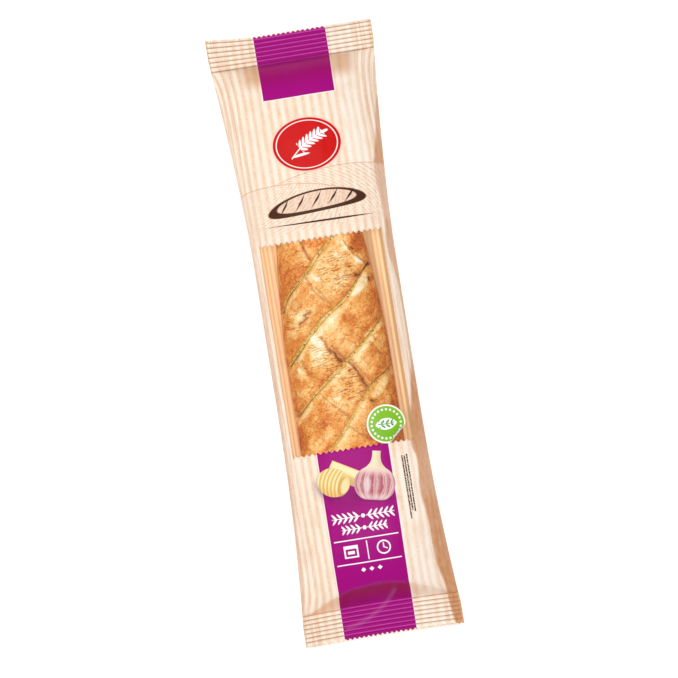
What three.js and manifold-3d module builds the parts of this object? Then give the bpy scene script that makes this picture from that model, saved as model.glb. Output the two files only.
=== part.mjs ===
// A garlic baguette in its shut flow-wrap pack, lying on its back with the printed side up.
// Millimetres, +Z up. +Y runs along the pack to its head seal, +X to the right of the print.
// The origin is on the table, under the middle of the pack.
//
// Solids: the wrapper (film tube, two crimped end seals, fin seal underneath) with a pinked
// window, the clear film in that window, the cut loaf, the garlic butter in each of its
// cuts, and a round sticker with one curled edge. The film is far thinner than its solids, so
// the wrapper is solid wherever the loaf and the room under the window leave it space.

import * as THREE from "three";
import { mergeVertices } from "three/addons/utils/BufferGeometryUtils.js";
import Module from "manifold-3d";

const wasm = await Module();
wasm.setup();

// ---------------------------------------------------------------- driving dimensions

const PACK_LENGTH = 340; // tooth tip to tooth tip
const PACK_HEIGHT = 39.5;
const WAIST_WIDTH = 78.4;
const HEAD_WIDTH = 92; // the seal at +Y
const FOOT_WIDTH = 88; // the seal at -Y
const SEAL_DEPTH = 18.5; // from the tooth tips to the innermost crimp
const SEAL_LEVEL = 14; // height of the flattened ends above the table
const SIDE_LEVEL = 19; // height of the side folds at the waist
const WALL = 1.0; // stands for the film wherever it is a wall or a seal
const PANE = 0.6; // stands for the film in the window
const GAP = 0.3; // between pieces that touch

const CRIMPS = 7; // ribs across each end seal
const CRIMP_PITCH = 2.4;
const CRIMP_RISE = 0.35;
const CUT_TOOTH_PITCH = 2.75; // pinked teeth across each cut end
const CUT_TOOTH = 1.2;

const WINDOW_WIDTH = 68.2;
const WINDOW_X = -0.6;
const WINDOW_TOP = 53.2;
const WINDOW_FOOT = -65.8;
const WINDOW_TEETH = 22;
const WINDOW_TOOTH = 1.5;

const FIN_WIDTH = 12; // the fin seal, folded flat under the pack
const FIN_THICKNESS = 0.5;

const LOAF_LENGTH = 277;
const LOAF_WIDTH = 57.5;
const LOAF_TOP = 37; // crown of the loaf above the table
const LOAF_X = -1.1;
const LOAF_FOOT = 2.0; // flat base of the loaf above the table
// Garlic cuts: where each crosses the loaf's axis, and its angle from the X axis in degrees.
const CUTS = [
  { middle: 76.5, angle: 44 },
  { middle: 45.7, angle: 44.4 },
  { middle: 11.4, angle: 43.1 },
  { middle: -19.7, angle: 41.2 },
  { middle: -50.3, angle: 44.6 },
  { middle: -81, angle: 43.5 },
];
const CUT_WIDTH = 1.9;
const CUT_FLOOR = 12; // what is left uncut above the table
const BUTTER_SUNK = 1.2; // the butter lies this far below the crust
const POCKET_ROOM = 0.9; // round the loaf, inside the film
const SCORE_ANGLE = THREE.MathUtils.degToRad(52); // baker's scores run down to the right
const SCORE_PITCH = 20.6; // across the scores
const SCORE_PHASE = -7.8;
const SCORE_DEPTH = 2.3;

const STICKER_RADIUS = 10.8;
const STICKER_X = 19;
const STICKER_Y = -54.6;
const STICKER_THICKNESS = 0.3;
const CURL_ANGLE = THREE.MathUtils.degToRad(-48); // where the curled edge points
const CURL_START = 6.6; // from the sticker's middle
const CURL_RADIUS = 1.8;

const HALF_LENGTH = PACK_LENGTH / 2;
const SEAL_LINE = HALF_LENGTH - SEAL_DEPTH;
const ABOVE_ALL = 80; // taller than anything that is cut

// ---------------------------------------------------------------- small helpers

const { clamp, lerp, smoothstep } = THREE.MathUtils;

// Rises from 0 at t = 0 to 1 at t = 1 along a rounded shoulder.
const shoulder = (t, n) => (1 - (1 - clamp(t, 0, 1)) ** n) ** (1 / n);

// 1 in the middle of a section, 0 at its sides (u = -1 and 1).
const arch = (u, p, q) => Math.max(0, 1 - Math.abs(u) ** p) ** (1 / q);

const range = (count, from, to) =>
  Array.from({ length: count + 1 }, (_, i) => lerp(from, to, i / count));

// A closed body between two sheets that meet along both sides. Each row holds the points of
// its top and bottom sheet from side to side, and the end rows are closed by a strip.
function twoSheets(rows) {
  const across = rows[0].top.length - 1;
  const perRow = 2 * across;
  const ring = rows.map(({ top, bottom }) => [...top, ...bottom.slice(1, across).reverse()]);
  const positions = ring.flat().flatMap((p) => [p.x, p.y, p.z]);
  const at = (row, i) => row * perRow + (i % perRow);
  const index = [];
  for (let row = 0; row + 1 < rows.length; row++) {
    for (let i = 0; i < perRow; i++) {
      const [a, b, c, d] = [at(row, i), at(row, i + 1), at(row + 1, i + 1), at(row + 1, i)];
      index.push(a, b, c, a, c, d);
    }
  }
  const last = rows.length - 1;
  for (let i = 0; i < across; i++) {
    const [j, k] = [(perRow - i) % perRow, perRow - i - 1];
    const quad = [i, i + 1, k, j].filter((v, n, all) => all.indexOf(v) === n);
    for (let n = 1; n + 1 < quad.length; n++) {
      index.push(at(0, quad[0]), at(0, quad[n + 1]), at(0, quad[n]));
      index.push(at(last, quad[0]), at(last, quad[n]), at(last, quad[n + 1]));
    }
  }
  const geometry = new THREE.BufferGeometry();
  geometry.setAttribute("position", new THREE.Float32BufferAttribute(positions, 3));
  geometry.setIndex(index);
  return geometry;
}

// A three.js geometry as a solid that can be cut and joined.
function solid(geometry) {
  const bare = geometry.clone();
  bare.deleteAttribute("normal");
  bare.deleteAttribute("uv");
  const merged = mergeVertices(bare, 1e-4);
  const made = new wasm.Manifold(
    new wasm.Mesh({
      numProp: 3,
      vertProperties: merged.attributes.position.array,
      triVerts: new Uint32Array(merged.index.array),
    }),
  );
  if (made.volume() < 0) throw new Error("a geometry is inside out");
  return made;
}

// A solid as a mesh of the scene graph.
function meshOf(name, body, material) {
  const { vertProperties, triVerts, numProp, numVert } = body.getMesh();
  const positions = new Float32Array(numVert * 3);
  for (let i = 0; i < numVert; i++) {
    positions.set(vertProperties.subarray(i * numProp, i * numProp + 3), i * 3);
  }
  const geometry = new THREE.BufferGeometry();
  geometry.setAttribute("position", new THREE.BufferAttribute(positions, 3));
  geometry.setIndex(new THREE.BufferAttribute(triVerts, 1));
  geometry.computeVertexNormals();
  const mesh = new THREE.Mesh(geometry, material);
  mesh.name = name;
  return mesh;
}

// A flat outline raised into a prism from one height to another.
function prism(points, from, to) {
  const shape = new THREE.Shape(points);
  const geometry = new THREE.ExtrudeGeometry(shape, { depth: to - from, bevelEnabled: false });
  return solid(geometry.translate(0, 0, from));
}

// Points of a pinked edge from x0 to x1 along y = line(x). The teeth reach depth beyond it.
function pinked(x0, x1, teeth, depth, line) {
  return range(2 * teeth, x0, x1).map(
    (x, i) => new THREE.Vector2(x, line(x) + (i % 2 ? depth : 0)),
  );
}

// ---------------------------------------------------------------- the film's form

// How far along the pack's end bulge y is: 0 at the seal, 1 where the pack is at full height.
const fromSeal = (y, run) => (SEAL_LINE - Math.abs(y)) / run;

function halfWidth(y) {
  const WAIST_HALF_LENGTH = 40;
  const end = (y > 0 ? HEAD_WIDTH : FOOT_WIDTH) / 2;
  const flare = y > 0 ? 1.6 : 2.2;
  const t = clamp((Math.abs(y) - WAIST_HALF_LENGTH) / (SEAL_LINE + 6 - WAIST_HALF_LENGTH), 0, 1);
  return lerp(WAIST_WIDTH / 2, end, t ** flare);
}

// The flattened ends droop a little towards their cut edges.
function sealLevel(y) {
  const END_DROOP = 3.5;
  return SEAL_LEVEL - END_DROOP * clamp(-fromSeal(y, SEAL_DEPTH), 0, 1);
}

const sideLevel = (y) => lerp(sealLevel(y), SIDE_LEVEL, smoothstep(fromSeal(y, 60), 0, 1));

// The top sheet swells from the head seal. It leaves the foot seal in a hollow slope, up to a
// bowed break, and then swells.
function crest(u, y) {
  const t = clamp(fromSeal(y, 44), 0, 1);
  const breakAt = y < 0 ? 0.27 * (1 - u * u) ** 1.5 : 0;
  const swell = (at) => shoulder(at, 2.5);
  const rise = t < breakAt ? swell(breakAt) * (t / breakAt) ** 1.3 : swell(t);
  return lerp(sealLevel(y), PACK_HEIGHT, rise);
}

const keel = (y) => lerp(sealLevel(y), 0, shoulder(fromSeal(y, 32), 2.3));

// The fin seal lifts the bottom sheet off the table by its own thickness, and the sheet comes
// down again a fin's half width to each side of it.
function finLift(x, y) {
  const across = clamp(2 - Math.abs(x) / (FIN_WIDTH / 2), 0, 1);
  return FIN_THICKNESS * across * clamp(fromSeal(y, FIN_WIDTH), 0, 1);
}

// Crimps press both layers of a seal into ribs that run across it.
function crimp(y) {
  const depth = Math.abs(y) - SEAL_LINE;
  if (depth < 0 || depth > CRIMPS * CRIMP_PITCH) return 0;
  return CRIMP_RISE * Math.cos((2 * Math.PI * depth) / CRIMP_PITCH);
}

function filmTop(x, y) {
  const u = x / halfWidth(y);
  const fullness = lerp(1.15, 2.0, smoothstep(fromSeal(y, 70), 0, 1));
  const side = sideLevel(y);
  const rise = (crest(u, y) - side) * arch(u, 2.5, fullness);
  return side + Math.max(rise, (WALL / 2) * arch(u, 16, 2)) + crimp(y);
}

function filmBottom(x, y) {
  const FLAT_SHARE = 0.52; // of the width, where the pack lies on the table
  const u = x / halfWidth(y);
  const side = sideLevel(y);
  const climb = clamp((Math.abs(u) - FLAT_SHARE) / (1 - FLAT_SHARE), 0, 1) ** 1.25;
  const drop = (side - keel(y)) * (1 - climb);
  return side - Math.max(drop, (WALL / 2) * arch(u, 16, 2)) + crimp(y) + finLift(x, y);
}

// The seals aren't quite square to the pack: how far a point of the print slides along it.
function seamBow(x, y) {
  const corner = Math.max(0, -x - 18) / 28;
  const head = 2.8 * corner ** 1.3 * smoothstep(y, SEAL_LINE - 4, HALF_LENGTH + 4);
  const foot = -0.9 * (x / 44) ** 2 * smoothstep(-y, SEAL_LINE - 14, SEAL_LINE + 2);
  return head + foot;
}

const HEAD_EDGE = HALF_LENGTH - 2.4; // where the teeth of the head seal end away from its corner
const FOOT_EDGE = -HALF_LENGTH + 0.9;

const COLUMNS = 20;

// Sections of the pack are closest together where it turns and on each crimp.
function stations() {
  const body = range(24, -1, 1).map((t) => (SEAL_LINE - 2) * Math.sin((Math.PI / 2) * t));
  const seal = range(2 * CRIMPS, SEAL_LINE, SEAL_LINE + CRIMPS * CRIMP_PITCH);
  const end = HALF_LENGTH + 2;
  return [-end, ...seal.map((y) => -y).reverse(), ...body, ...seal, end];
}

// The pack's whole outer form, its top sheet lowered by an amount.
function packForm(lowered = 0) {
  const rows = stations().map((y) => {
    const xs = range(COLUMNS, -1, 1).map((t) => halfWidth(y) * Math.sin((Math.PI / 2) * t));
    const point = (x, z) => new THREE.Vector3(x, y + seamBow(x, y), z);
    return {
      top: xs.map((x) => point(x, filmTop(x, y) - lowered)),
      bottom: xs.map((x) => point(x, filmBottom(x, y) - lowered)),
    };
  });
  return solid(twoSheets(rows));
}

// What the pinking knife takes off one end. side is 1 for the head and -1 for the foot.
function endOffcut(side) {
  const reach = HEAD_WIDTH / 2 + 2;
  const far = side * (HALF_LENGTH + 20);
  const edge = side > 0 ? HEAD_EDGE : FOOT_EDGE;
  const line = (x) => edge + seamBow(x, edge);
  const count = Math.round((2 * reach) / CUT_TOOTH_PITCH);
  const teeth = pinked(-reach, reach, count, -side * CUT_TOOTH, line);
  const corners = [new THREE.Vector2(reach, far), new THREE.Vector2(-reach, far)];
  return prism([...teeth, ...corners], -ABOVE_ALL, ABOVE_ALL);
}

// The window's outline, held back all round by inset.
function windowOutline(inset) {
  const left = WINDOW_X - WINDOW_WIDTH / 2 + inset;
  const right = WINDOW_X + WINDOW_WIDTH / 2 - inset;
  const foot = pinked(left, right, WINDOW_TEETH, WINDOW_TOOTH, () => WINDOW_FOOT + inset);
  const head = pinked(left, right, WINDOW_TEETH, -WINDOW_TOOTH, () => WINDOW_TOP - inset);
  return [...foot, ...head.reverse()];
}

// The room in the pack under its window, down to the film that the loaf lies on.
function windowRoom() {
  const BEYOND = 3; // how far the room is made past the window before it is cut to the outline
  const reach = WINDOW_WIDTH / 2 + BEYOND;
  const xs = range(12, -reach, reach);
  const isSide = (x) => Math.abs(x) === reach;
  const rows = range(6, WINDOW_FOOT - BEYOND, WINDOW_TOP + BEYOND).map((y) => {
    const floor = (x) => filmBottom(x, y) + WALL;
    return {
      top: xs.map((x) => new THREE.Vector3(x, y, isSide(x) ? floor(x) : ABOVE_ALL)),
      bottom: xs.map((x) => new THREE.Vector3(x, y, floor(x))),
    };
  });
  return solid(twoSheets(rows)).intersect(prism(windowOutline(0), 0, ABOVE_ALL));
}

// The fin seal, folded flat, from end seal to end seal.
function finSeal() {
  const FOLD = 0.4; // how far its two edges are rounded
  const outer = FIN_WIDTH / 2;
  const xs = [-outer, -outer + FOLD, outer - FOLD, outer];
  const isEdge = (x) => Math.abs(x) === outer;
  const rows = range(24, -1, 1).map((t) => {
    const y = (SEAL_LINE - 1) * Math.sin((Math.PI / 2) * t);
    const under = (x) => filmBottom(x, y) - FIN_THICKNESS;
    const rise = (x, inside) => under(x) + (isEdge(x) ? FIN_THICKNESS / 2 : inside);
    return {
      top: xs.map((x) => new THREE.Vector3(x, y, rise(x, FIN_THICKNESS + WALL / 2))),
      bottom: xs.map((x) => new THREE.Vector3(x, y, rise(x, 0))),
    };
  });
  return solid(twoSheets(rows));
}

// ---------------------------------------------------------------- the loaf's form

const LOAF_HALF = LOAF_LENGTH / 2;

// Share of the loaf's full width at y: a long taper to the head, a blunt end at the foot.
function loafTaper(y) {
  if (y > -10) {
    const t = clamp((y + 10) / (LOAF_HALF + 10), 0, 1);
    return Math.sqrt(1 - t ** 1.4);
  }
  const t = clamp((-y - 72) / (LOAF_HALF - 72), 0, 1);
  return Math.sqrt(1 - t ** 2.4);
}

// The crust swells between two scores and dips along each of them.
function scoreRelief(x, y) {
  const across = x * Math.sin(SCORE_ANGLE) + y * Math.cos(SCORE_ANGLE);
  const swell = Math.abs(Math.sin((Math.PI * (across - SCORE_PHASE)) / SCORE_PITCH));
  return SCORE_DEPTH * (swell ** 0.7 - 1);
}

const LOAF_COLUMNS = 14;

// The loaf as a lofted body, every surface moved outwards by grown. Plain leaves out relief.
function loafForm(grown, plain = false) {
  const END = 0.985; // the last section, just short of the tip
  const rows = range(plain ? 24 : 54, -END, END).map((t) => {
    const along = Math.sin((Math.PI / 2) * t);
    const y = (LOAF_HALF + grown) * along;
    const taper = loafTaper(LOAF_HALF * along);
    const half = (LOAF_WIDTH / 2) * taper + grown;
    const wide = lerp(17, 14.5, taper); // height of the widest line
    const crown = lerp(wide, LOAF_TOP, taper ** 0.62) + grown;
    const base = lerp(wide, LOAF_FOOT, taper ** 0.5) - grown;
    const section = (i, above) => {
      const a = (Math.PI * i) / LOAF_COLUMNS;
      const power = above ? 2 / 2.25 : 2 / 2.7;
      const c = -Math.sign(Math.cos(a)) * Math.abs(Math.cos(a)) ** power;
      const s = Math.abs(Math.sin(a)) ** power;
      const x = LOAF_X + half * c;
      const lift = plain || !above ? 0 : scoreRelief(x, y) * s * taper;
      return new THREE.Vector3(x, y, wide + (above ? crown - wide : base - wide) * s + lift);
    };
    const columns = range(LOAF_COLUMNS, 0, LOAF_COLUMNS);
    return {
      top: columns.map((i) => section(i, true)),
      bottom: columns.map((i) => section(i, false)),
    };
  });
  return solid(twoSheets(rows));
}

// A slab that stands across the loaf in one of its cuts.
function cutSlab({ middle, angle }, thickness, foot) {
  const slab = new THREE.BoxGeometry(2 * LOAF_WIDTH, thickness, ABOVE_ALL);
  slab.translate(0, 0, ABOVE_ALL / 2 + foot);
  slab.rotateZ(THREE.MathUtils.degToRad(angle));
  slab.translate(LOAF_X, middle, 0);
  return solid(slab);
}

// ---------------------------------------------------------------- the sticker's form

// A round sticker that lies on the pack, with its edge rolled up beyond the curl's start.
function stickerForm() {
  const RIM = 0.98; // the first and last rows stay just inside the round edge
  const from = Math.asin(-RIM);
  const curl = Math.asin(CURL_START / STICKER_RADIUS);
  const turns = [...range(6, from, curl), ...range(5, curl, Math.asin(RIM)).slice(1)];
  const rows = turns.map((turn) => {
    const along = STICKER_RADIUS * Math.sin(turn);
    const half = Math.sqrt(STICKER_RADIUS ** 2 - along ** 2);
    const roll = Math.max(0, along - CURL_START) / CURL_RADIUS;
    const point = (side, out) => {
      const v = half * side;
      const u = Math.min(along, CURL_START) + (CURL_RADIUS - out) * Math.sin(roll);
      const x = STICKER_X + u * Math.cos(CURL_ANGLE) - v * Math.sin(CURL_ANGLE);
      const y = STICKER_Y + u * Math.sin(CURL_ANGLE) + v * Math.cos(CURL_ANGLE);
      const lift = CURL_RADIUS - (CURL_RADIUS - out) * Math.cos(roll);
      return new THREE.Vector3(x, y, filmTop(x, y) + GAP + lift);
    };
    const sides = range(8, 1, -1);
    const sheet = (out) => (s) => point(s, Math.abs(s) === 1 ? STICKER_THICKNESS / 2 : out);
    return { top: sides.map(sheet(STICKER_THICKNESS)), bottom: sides.map(sheet(0)) };
  });
  return solid(twoSheets(rows));
}

// ---------------------------------------------------------------- pieces

const paperFilm = new THREE.MeshStandardMaterial({ color: 0xf0d6b8, roughness: 0.55 });
const clearFilm = new THREE.MeshStandardMaterial({
  color: 0xffffff,
  roughness: 0.1,
  transparent: true,
  opacity: 0.2,
});
const crust = new THREE.MeshStandardMaterial({ color: 0xd9933f, roughness: 0.75 });
const herbButter = new THREE.MeshStandardMaterial({ color: 0xc9ad3a, roughness: 0.5 });
const greenLabel = new THREE.MeshStandardMaterial({ color: 0x78b82a, roughness: 0.4 });

const part = new THREE.Group();
part.name = "garlic_baguette_pack";

const wrapper = packForm()
  .add(finSeal())
  .subtract(endOffcut(1))
  .subtract(endOffcut(-1))
  .subtract(windowRoom())
  .subtract(loafForm(POCKET_ROOM, true));
part.add(meshOf("wrapper", wrapper, paperFilm));

const pane = packForm()
  .intersect(prism(windowOutline(GAP), SIDE_LEVEL, ABOVE_ALL))
  .subtract(packForm(PANE));
part.add(meshOf("window_film", pane, clearFilm));

const loaf = CUTS.reduce(
  (body, cut) => body.subtract(cutSlab(cut, CUT_WIDTH, CUT_FLOOR)),
  loafForm(0),
);
part.add(meshOf("baguette", loaf, crust));

const butterCore = loafForm(-BUTTER_SUNK);
CUTS.forEach((cut, i) => {
  const butter = butterCore.intersect(cutSlab(cut, CUT_WIDTH - 2 * GAP, CUT_FLOOR + GAP));
  part.add(meshOf(`garlic_butter_${i + 1}`, butter, herbButter));
});

part.add(meshOf("round_sticker", stickerForm(), greenLabel));

export default part;
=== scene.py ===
"""A garlic baguette in its shut flow-wrap pack.

The pack lies on its fin seal with the printed side up. Sizes are millimetres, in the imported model's frame:
+Y runs to the head seal, +X to the right of the print, and the table is at zero height. Meshes are in metres.
"""

import logging
import math
from collections.abc import Callable, Sequence
from dataclasses import dataclass, field
from enum import Enum
from functools import partial, reduce

import bpy
import numpy as np
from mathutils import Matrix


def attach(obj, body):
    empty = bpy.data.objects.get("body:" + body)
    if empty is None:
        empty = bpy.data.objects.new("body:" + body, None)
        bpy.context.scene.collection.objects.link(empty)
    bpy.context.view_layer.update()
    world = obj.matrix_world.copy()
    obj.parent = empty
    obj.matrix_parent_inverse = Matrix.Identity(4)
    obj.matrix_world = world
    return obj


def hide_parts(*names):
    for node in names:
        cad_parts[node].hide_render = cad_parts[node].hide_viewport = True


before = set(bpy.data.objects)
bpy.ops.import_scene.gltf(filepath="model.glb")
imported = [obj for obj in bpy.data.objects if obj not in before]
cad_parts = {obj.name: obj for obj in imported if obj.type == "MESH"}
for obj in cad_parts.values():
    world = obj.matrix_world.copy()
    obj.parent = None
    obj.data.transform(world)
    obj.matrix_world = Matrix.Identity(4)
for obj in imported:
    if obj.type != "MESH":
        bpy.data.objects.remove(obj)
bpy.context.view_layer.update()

MM = 0.001
BODY = "root"
LOG = logging.getLogger("garlic_baguette")

Array = np.ndarray
Numbers = float | Array
Pair = tuple[float, float]
Pairs = tuple[Pair, ...]
Piece = bpy.types.Object
Material = bpy.types.Material


# ---- numbers


def blend(a: Numbers, b: Numbers, share: Numbers) -> Numbers:
    """Goes from a to b as share goes from 0 to 1."""
    return a + (b - a) * share


def ramp(value: Numbers, low: float, high: float) -> Numbers:
    """Rises smoothly from 0 at low to 1 at high, and works both ways round."""
    t = np.clip((value - low) / (high - low), 0.0, 1.0)
    return t * t * (3.0 - 2.0 * t)


def shoulder(t: Numbers, power: float) -> Numbers:
    """Rises from 0 at t = 0 to 1 at t = 1 along a rounded shoulder."""
    return (1.0 - (1.0 - np.clip(t, 0.0, 1.0)) ** power) ** (1.0 / power)


def arch(u: Numbers, p: float, q: Numbers) -> Numbers:
    """1 in the middle of a section, 0 at its sides (u = -1 and 1)."""
    return np.maximum(0.0, 1.0 - np.abs(u) ** p) ** (1.0 / q)


def hump(distance: Numbers, width: float) -> Numbers:
    """A soft bump, 1 in the middle, that fades over a width."""
    return np.exp(-((distance / width) ** 2))


def turned_axes(u: "Numbers | Wire", v: "Numbers | Wire", degrees: float) -> tuple:
    """Two numbers of a place, along axes that are turned anticlockwise."""
    c, d = math.cos(math.radians(degrees)), math.sin(math.radians(degrees))
    return u * c + v * d, v * c - u * d


def curve_through(points: Sequence[Pair], at: Numbers) -> Numbers:
    """A smooth curve through a few points, level beyond the first and last.

    Args:
        points: the (position, value) pairs, in order.
        at: positions, any shape.

    Returns:
        The values at those positions.
    """
    xs, ys = np.array(points, dtype=float).T
    slopes = np.zeros_like(ys)
    slopes[1:-1] = (ys[2:] - ys[:-2]) / (xs[2:] - xs[:-2])
    at = np.clip(at, xs[0], xs[-1])
    i = np.clip(np.searchsorted(xs, at, side="right") - 1, 0, len(xs) - 2)
    span = xs[i + 1] - xs[i]
    t = (at - xs[i]) / span
    rise = ys[i] * (1 + 2 * t) * (1 - t) ** 2 + ys[i + 1] * t * t * (3 - 2 * t)
    return rise + span * (slopes[i] * t * (1 - t) ** 2 - slopes[i + 1] * t * t * (1 - t))


class Grain:
    """Smooth random relief in space, the same at every run."""

    SIDE = 32
    START = 7.3

    def __init__(self, seed: int) -> None:
        """Draws the values of the lattice from a seed."""
        rng = np.random.default_rng(seed)
        self.lattice = rng.uniform(-1.0, 1.0, (self.SIDE,) * 3)

    def at(self, x: Numbers, y: Numbers, z: Numbers, size: float) -> Numbers:
        """Relief from -1 to 1.

        Args:
            x, y, z: the places, in millimetres.
            size: about how far it is across a bump.

        Returns:
            The relief at each place.
        """
        places = [np.asarray(v) / size + self.START for v in (x, y, z)]
        cells = [np.floor(p).astype(int) for p in places]
        shares = [ramp(p - c, 0.0, 1.0) for p, c in zip(places, cells)]
        total = 0.0
        for corner in np.ndindex(2, 2, 2):
            weight = 1.0
            for share, side in zip(shares, corner):
                weight = weight * (share if side else 1.0 - share)
            i, j, k = [(c + side) % self.SIDE for c, side in zip(cells, corner)]
            total = total + weight * self.lattice[i, j, k]
        return total

    def rough(self, x: Numbers, y: Numbers, z: Numbers, size: float, layers: int) -> Numbers:
        """Relief of several layers, each half the size and half the height of the last.

        Args:
            x, y, z: the places, in millimetres.
            size: about how far it is across the largest bumps.
            layers: how many there are.

        Returns:
            The relief at each place.
        """
        total, share = 0.0, 1.0
        for _ in range(layers):
            total = total + share * self.at(x, y, z, size)
            size, share = size / 2.03, share / 2.0
        return total


# ---- meshes


def select_only(*pieces: Piece) -> None:
    """Selects some objects alone.

    Args:
        pieces: the objects, of which the last becomes the active one.
    """
    bpy.ops.object.select_all(action="DESELECT")
    for piece in pieces:
        piece.select_set(True)
    bpy.context.view_layer.objects.active = pieces[-1]


def apply_modifier(piece: Piece, kind: str, **settings: float) -> None:
    """Adds a modifier and applies it.

    Args:
        piece: what it shapes.
        kind: the modifier's type.
        settings: its settings.
    """
    select_only(piece)
    modifier = piece.modifiers.new(kind.title(), kind)
    for key, value in settings.items():
        setattr(modifier, key, value)
    bpy.ops.object.modifier_apply(modifier=modifier.name)


def dress(piece: Piece, *materials: Material) -> Piece:
    """Gives a piece its materials, in order."""
    for material in materials:
        piece.data.materials.append(material)
    return piece


def woven_grid(name: str, points: Array, outside_up: bool = True) -> Piece:
    """A grid primitive whose vertices are moved to the given places.

    Args:
        name: the piece's name.
        points: rows by columns by 3, in millimetres.
        outside_up: whether the outer side is the one that looks up.

    Returns:
        The new object, at the origin.
    """
    rows, columns = points.shape[:2]
    bpy.ops.object.select_all(action="DESELECT")
    bpy.ops.mesh.primitive_grid_add(x_subdivisions=columns - 1, y_subdivisions=rows - 1, size=1.0)
    piece = bpy.context.active_object
    piece.name = piece.data.name = name
    piece.data.vertices.foreach_set("co", (points * MM).astype(np.float32).ravel())
    if not outside_up:
        piece.data.flip_normals()
    piece.data.update()
    piece.data.shade_smooth()
    return piece


def joined_faces(name: str, vertices: Array, faces: Sequence[Sequence[int]]) -> Piece:
    """A new object from its faces.

    Args:
        name: the piece's name.
        vertices: places in millimetres, one row each.
        faces: the vertices of each face, in order.

    Returns:
        The new object, at the origin.
    """
    mesh = bpy.data.meshes.new(name)
    mesh.from_pydata((vertices * MM).tolist(), [], faces)
    piece = bpy.data.objects.new(name, mesh)
    bpy.context.collection.objects.link(piece)
    return piece


def rolled_tube(name: str, points: Array) -> Piece:
    """A closed body of rings that run round it, with both ends capped by a point.

    Args:
        name: the piece's name.
        points: rings by columns by 3, in millimetres, without a repeated column.

    Returns:
        The new object, at the origin.
    """
    rings, columns = points.shape[:2]
    caps = np.stack([points[0].mean(axis=0), points[-1].mean(axis=0)])
    row, column = np.meshgrid(np.arange(rings - 1), np.arange(columns), indexing="ij")
    after = (column + 1) % columns
    quads = np.stack([row * columns + column, row * columns + after,
                      (row + 1) * columns + after, (row + 1) * columns + column], axis=-1)
    faces = quads.reshape(-1, 4).tolist()
    first, last, top = rings * columns, rings * columns + 1, (rings - 1) * columns
    for i in range(columns):
        j = (i + 1) % columns
        faces += [(first, j, i), (last, top + i, top + j)]
    piece = joined_faces(name, np.concatenate([points.reshape(-1, 3), caps]), faces)
    piece.data.update()
    piece.data.shade_smooth()
    return piece


def write_values(piece: Piece, name: str, values: Array) -> None:
    """Stores one number a vertex under a name, for the materials, and 0 at the caps."""
    flat = np.zeros(len(piece.data.vertices), dtype=np.float32)
    flat[: values.size] = values.ravel()
    piece.data.attributes.new(name, "FLOAT", "POINT").data.foreach_set("value", flat)


def write_print(piece: Piece, s: Array, t: Array) -> None:
    """Lays the flat print on a piece as a UV map in metres.

    Args:
        piece: what is printed on.
        s: each vertex's place across the print, from its middle, in millimetres.
        t: its place along the print.
    """
    flat = np.stack([s.ravel(), t.ravel()], axis=-1) * MM
    corners = np.zeros(len(piece.data.loops), dtype=np.int32)
    piece.data.loops.foreach_get("vertex_index", corners)
    while piece.data.uv_layers:
        piece.data.uv_layers.remove(piece.data.uv_layers[0])
    layer = piece.data.uv_layers.new(name="print")
    layer.data.foreach_set("uv", flat[corners].astype(np.float32).ravel())


def normals_of(points: Array) -> Array:
    """Unit normals of a grid of points, on the side where columns turn to rows."""
    normal = np.cross(np.gradient(points, axis=1), np.gradient(points, axis=0))
    return normal / np.maximum(np.linalg.norm(normal, axis=-1, keepdims=True), 1e-9)


# ---- shader boards


def paint(code: str) -> tuple[float, float, float, float]:
    """A screen colour such as F8E6D2 as the linear colour that shaders take."""
    parts = [int(code[i : i + 2], 16) / 255 for i in (0, 2, 4)]
    linear = [p / 12.92 if p <= 0.04045 else ((p + 0.055) / 1.055) ** 2.4 for p in parts]
    return (*linear, 1.0)


class Wire:
    """A number or colour on its way through a material, with Python's arithmetic."""

    def __init__(self, board: "Board", socket: bpy.types.NodeSocket) -> None:
        """Holds the board and the output socket that gives the number."""
        self.board, self.socket = board, socket

    def __add__(self, other: "Signal") -> "Wire":
        """This plus another."""
        return self.board.math("ADD", self, other)

    def __sub__(self, other: "Signal") -> "Wire":
        """This less another."""
        return self.board.math("SUBTRACT", self, other)

    def __rsub__(self, other: "Signal") -> "Wire":
        """Another less this."""
        return self.board.math("SUBTRACT", other, self)

    def __mul__(self, other: "Signal") -> "Wire":
        """This times another."""
        return self.board.math("MULTIPLY", self, other)

    def __truediv__(self, other: "Signal") -> "Wire":
        """This over another."""
        return self.board.math("DIVIDE", self, other)

    def __neg__(self) -> "Wire":
        """This with its sign changed."""
        return self.board.math("MULTIPLY", self, -1.0)

    def __abs__(self) -> "Wire":
        """This without its sign."""
        return self.board.math("ABSOLUTE", self)

    __radd__ = __add__
    __rmul__ = __mul__


Signal = Wire | float
Feed = Wire | float | tuple[float, ...] | None


class Flake(Enum):
    """What is read from irregular cells: the feature, and the output that gives it."""

    COLOUR = ("F1", "Color")
    BRINK = ("DISTANCE_TO_EDGE", "Distance")


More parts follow.
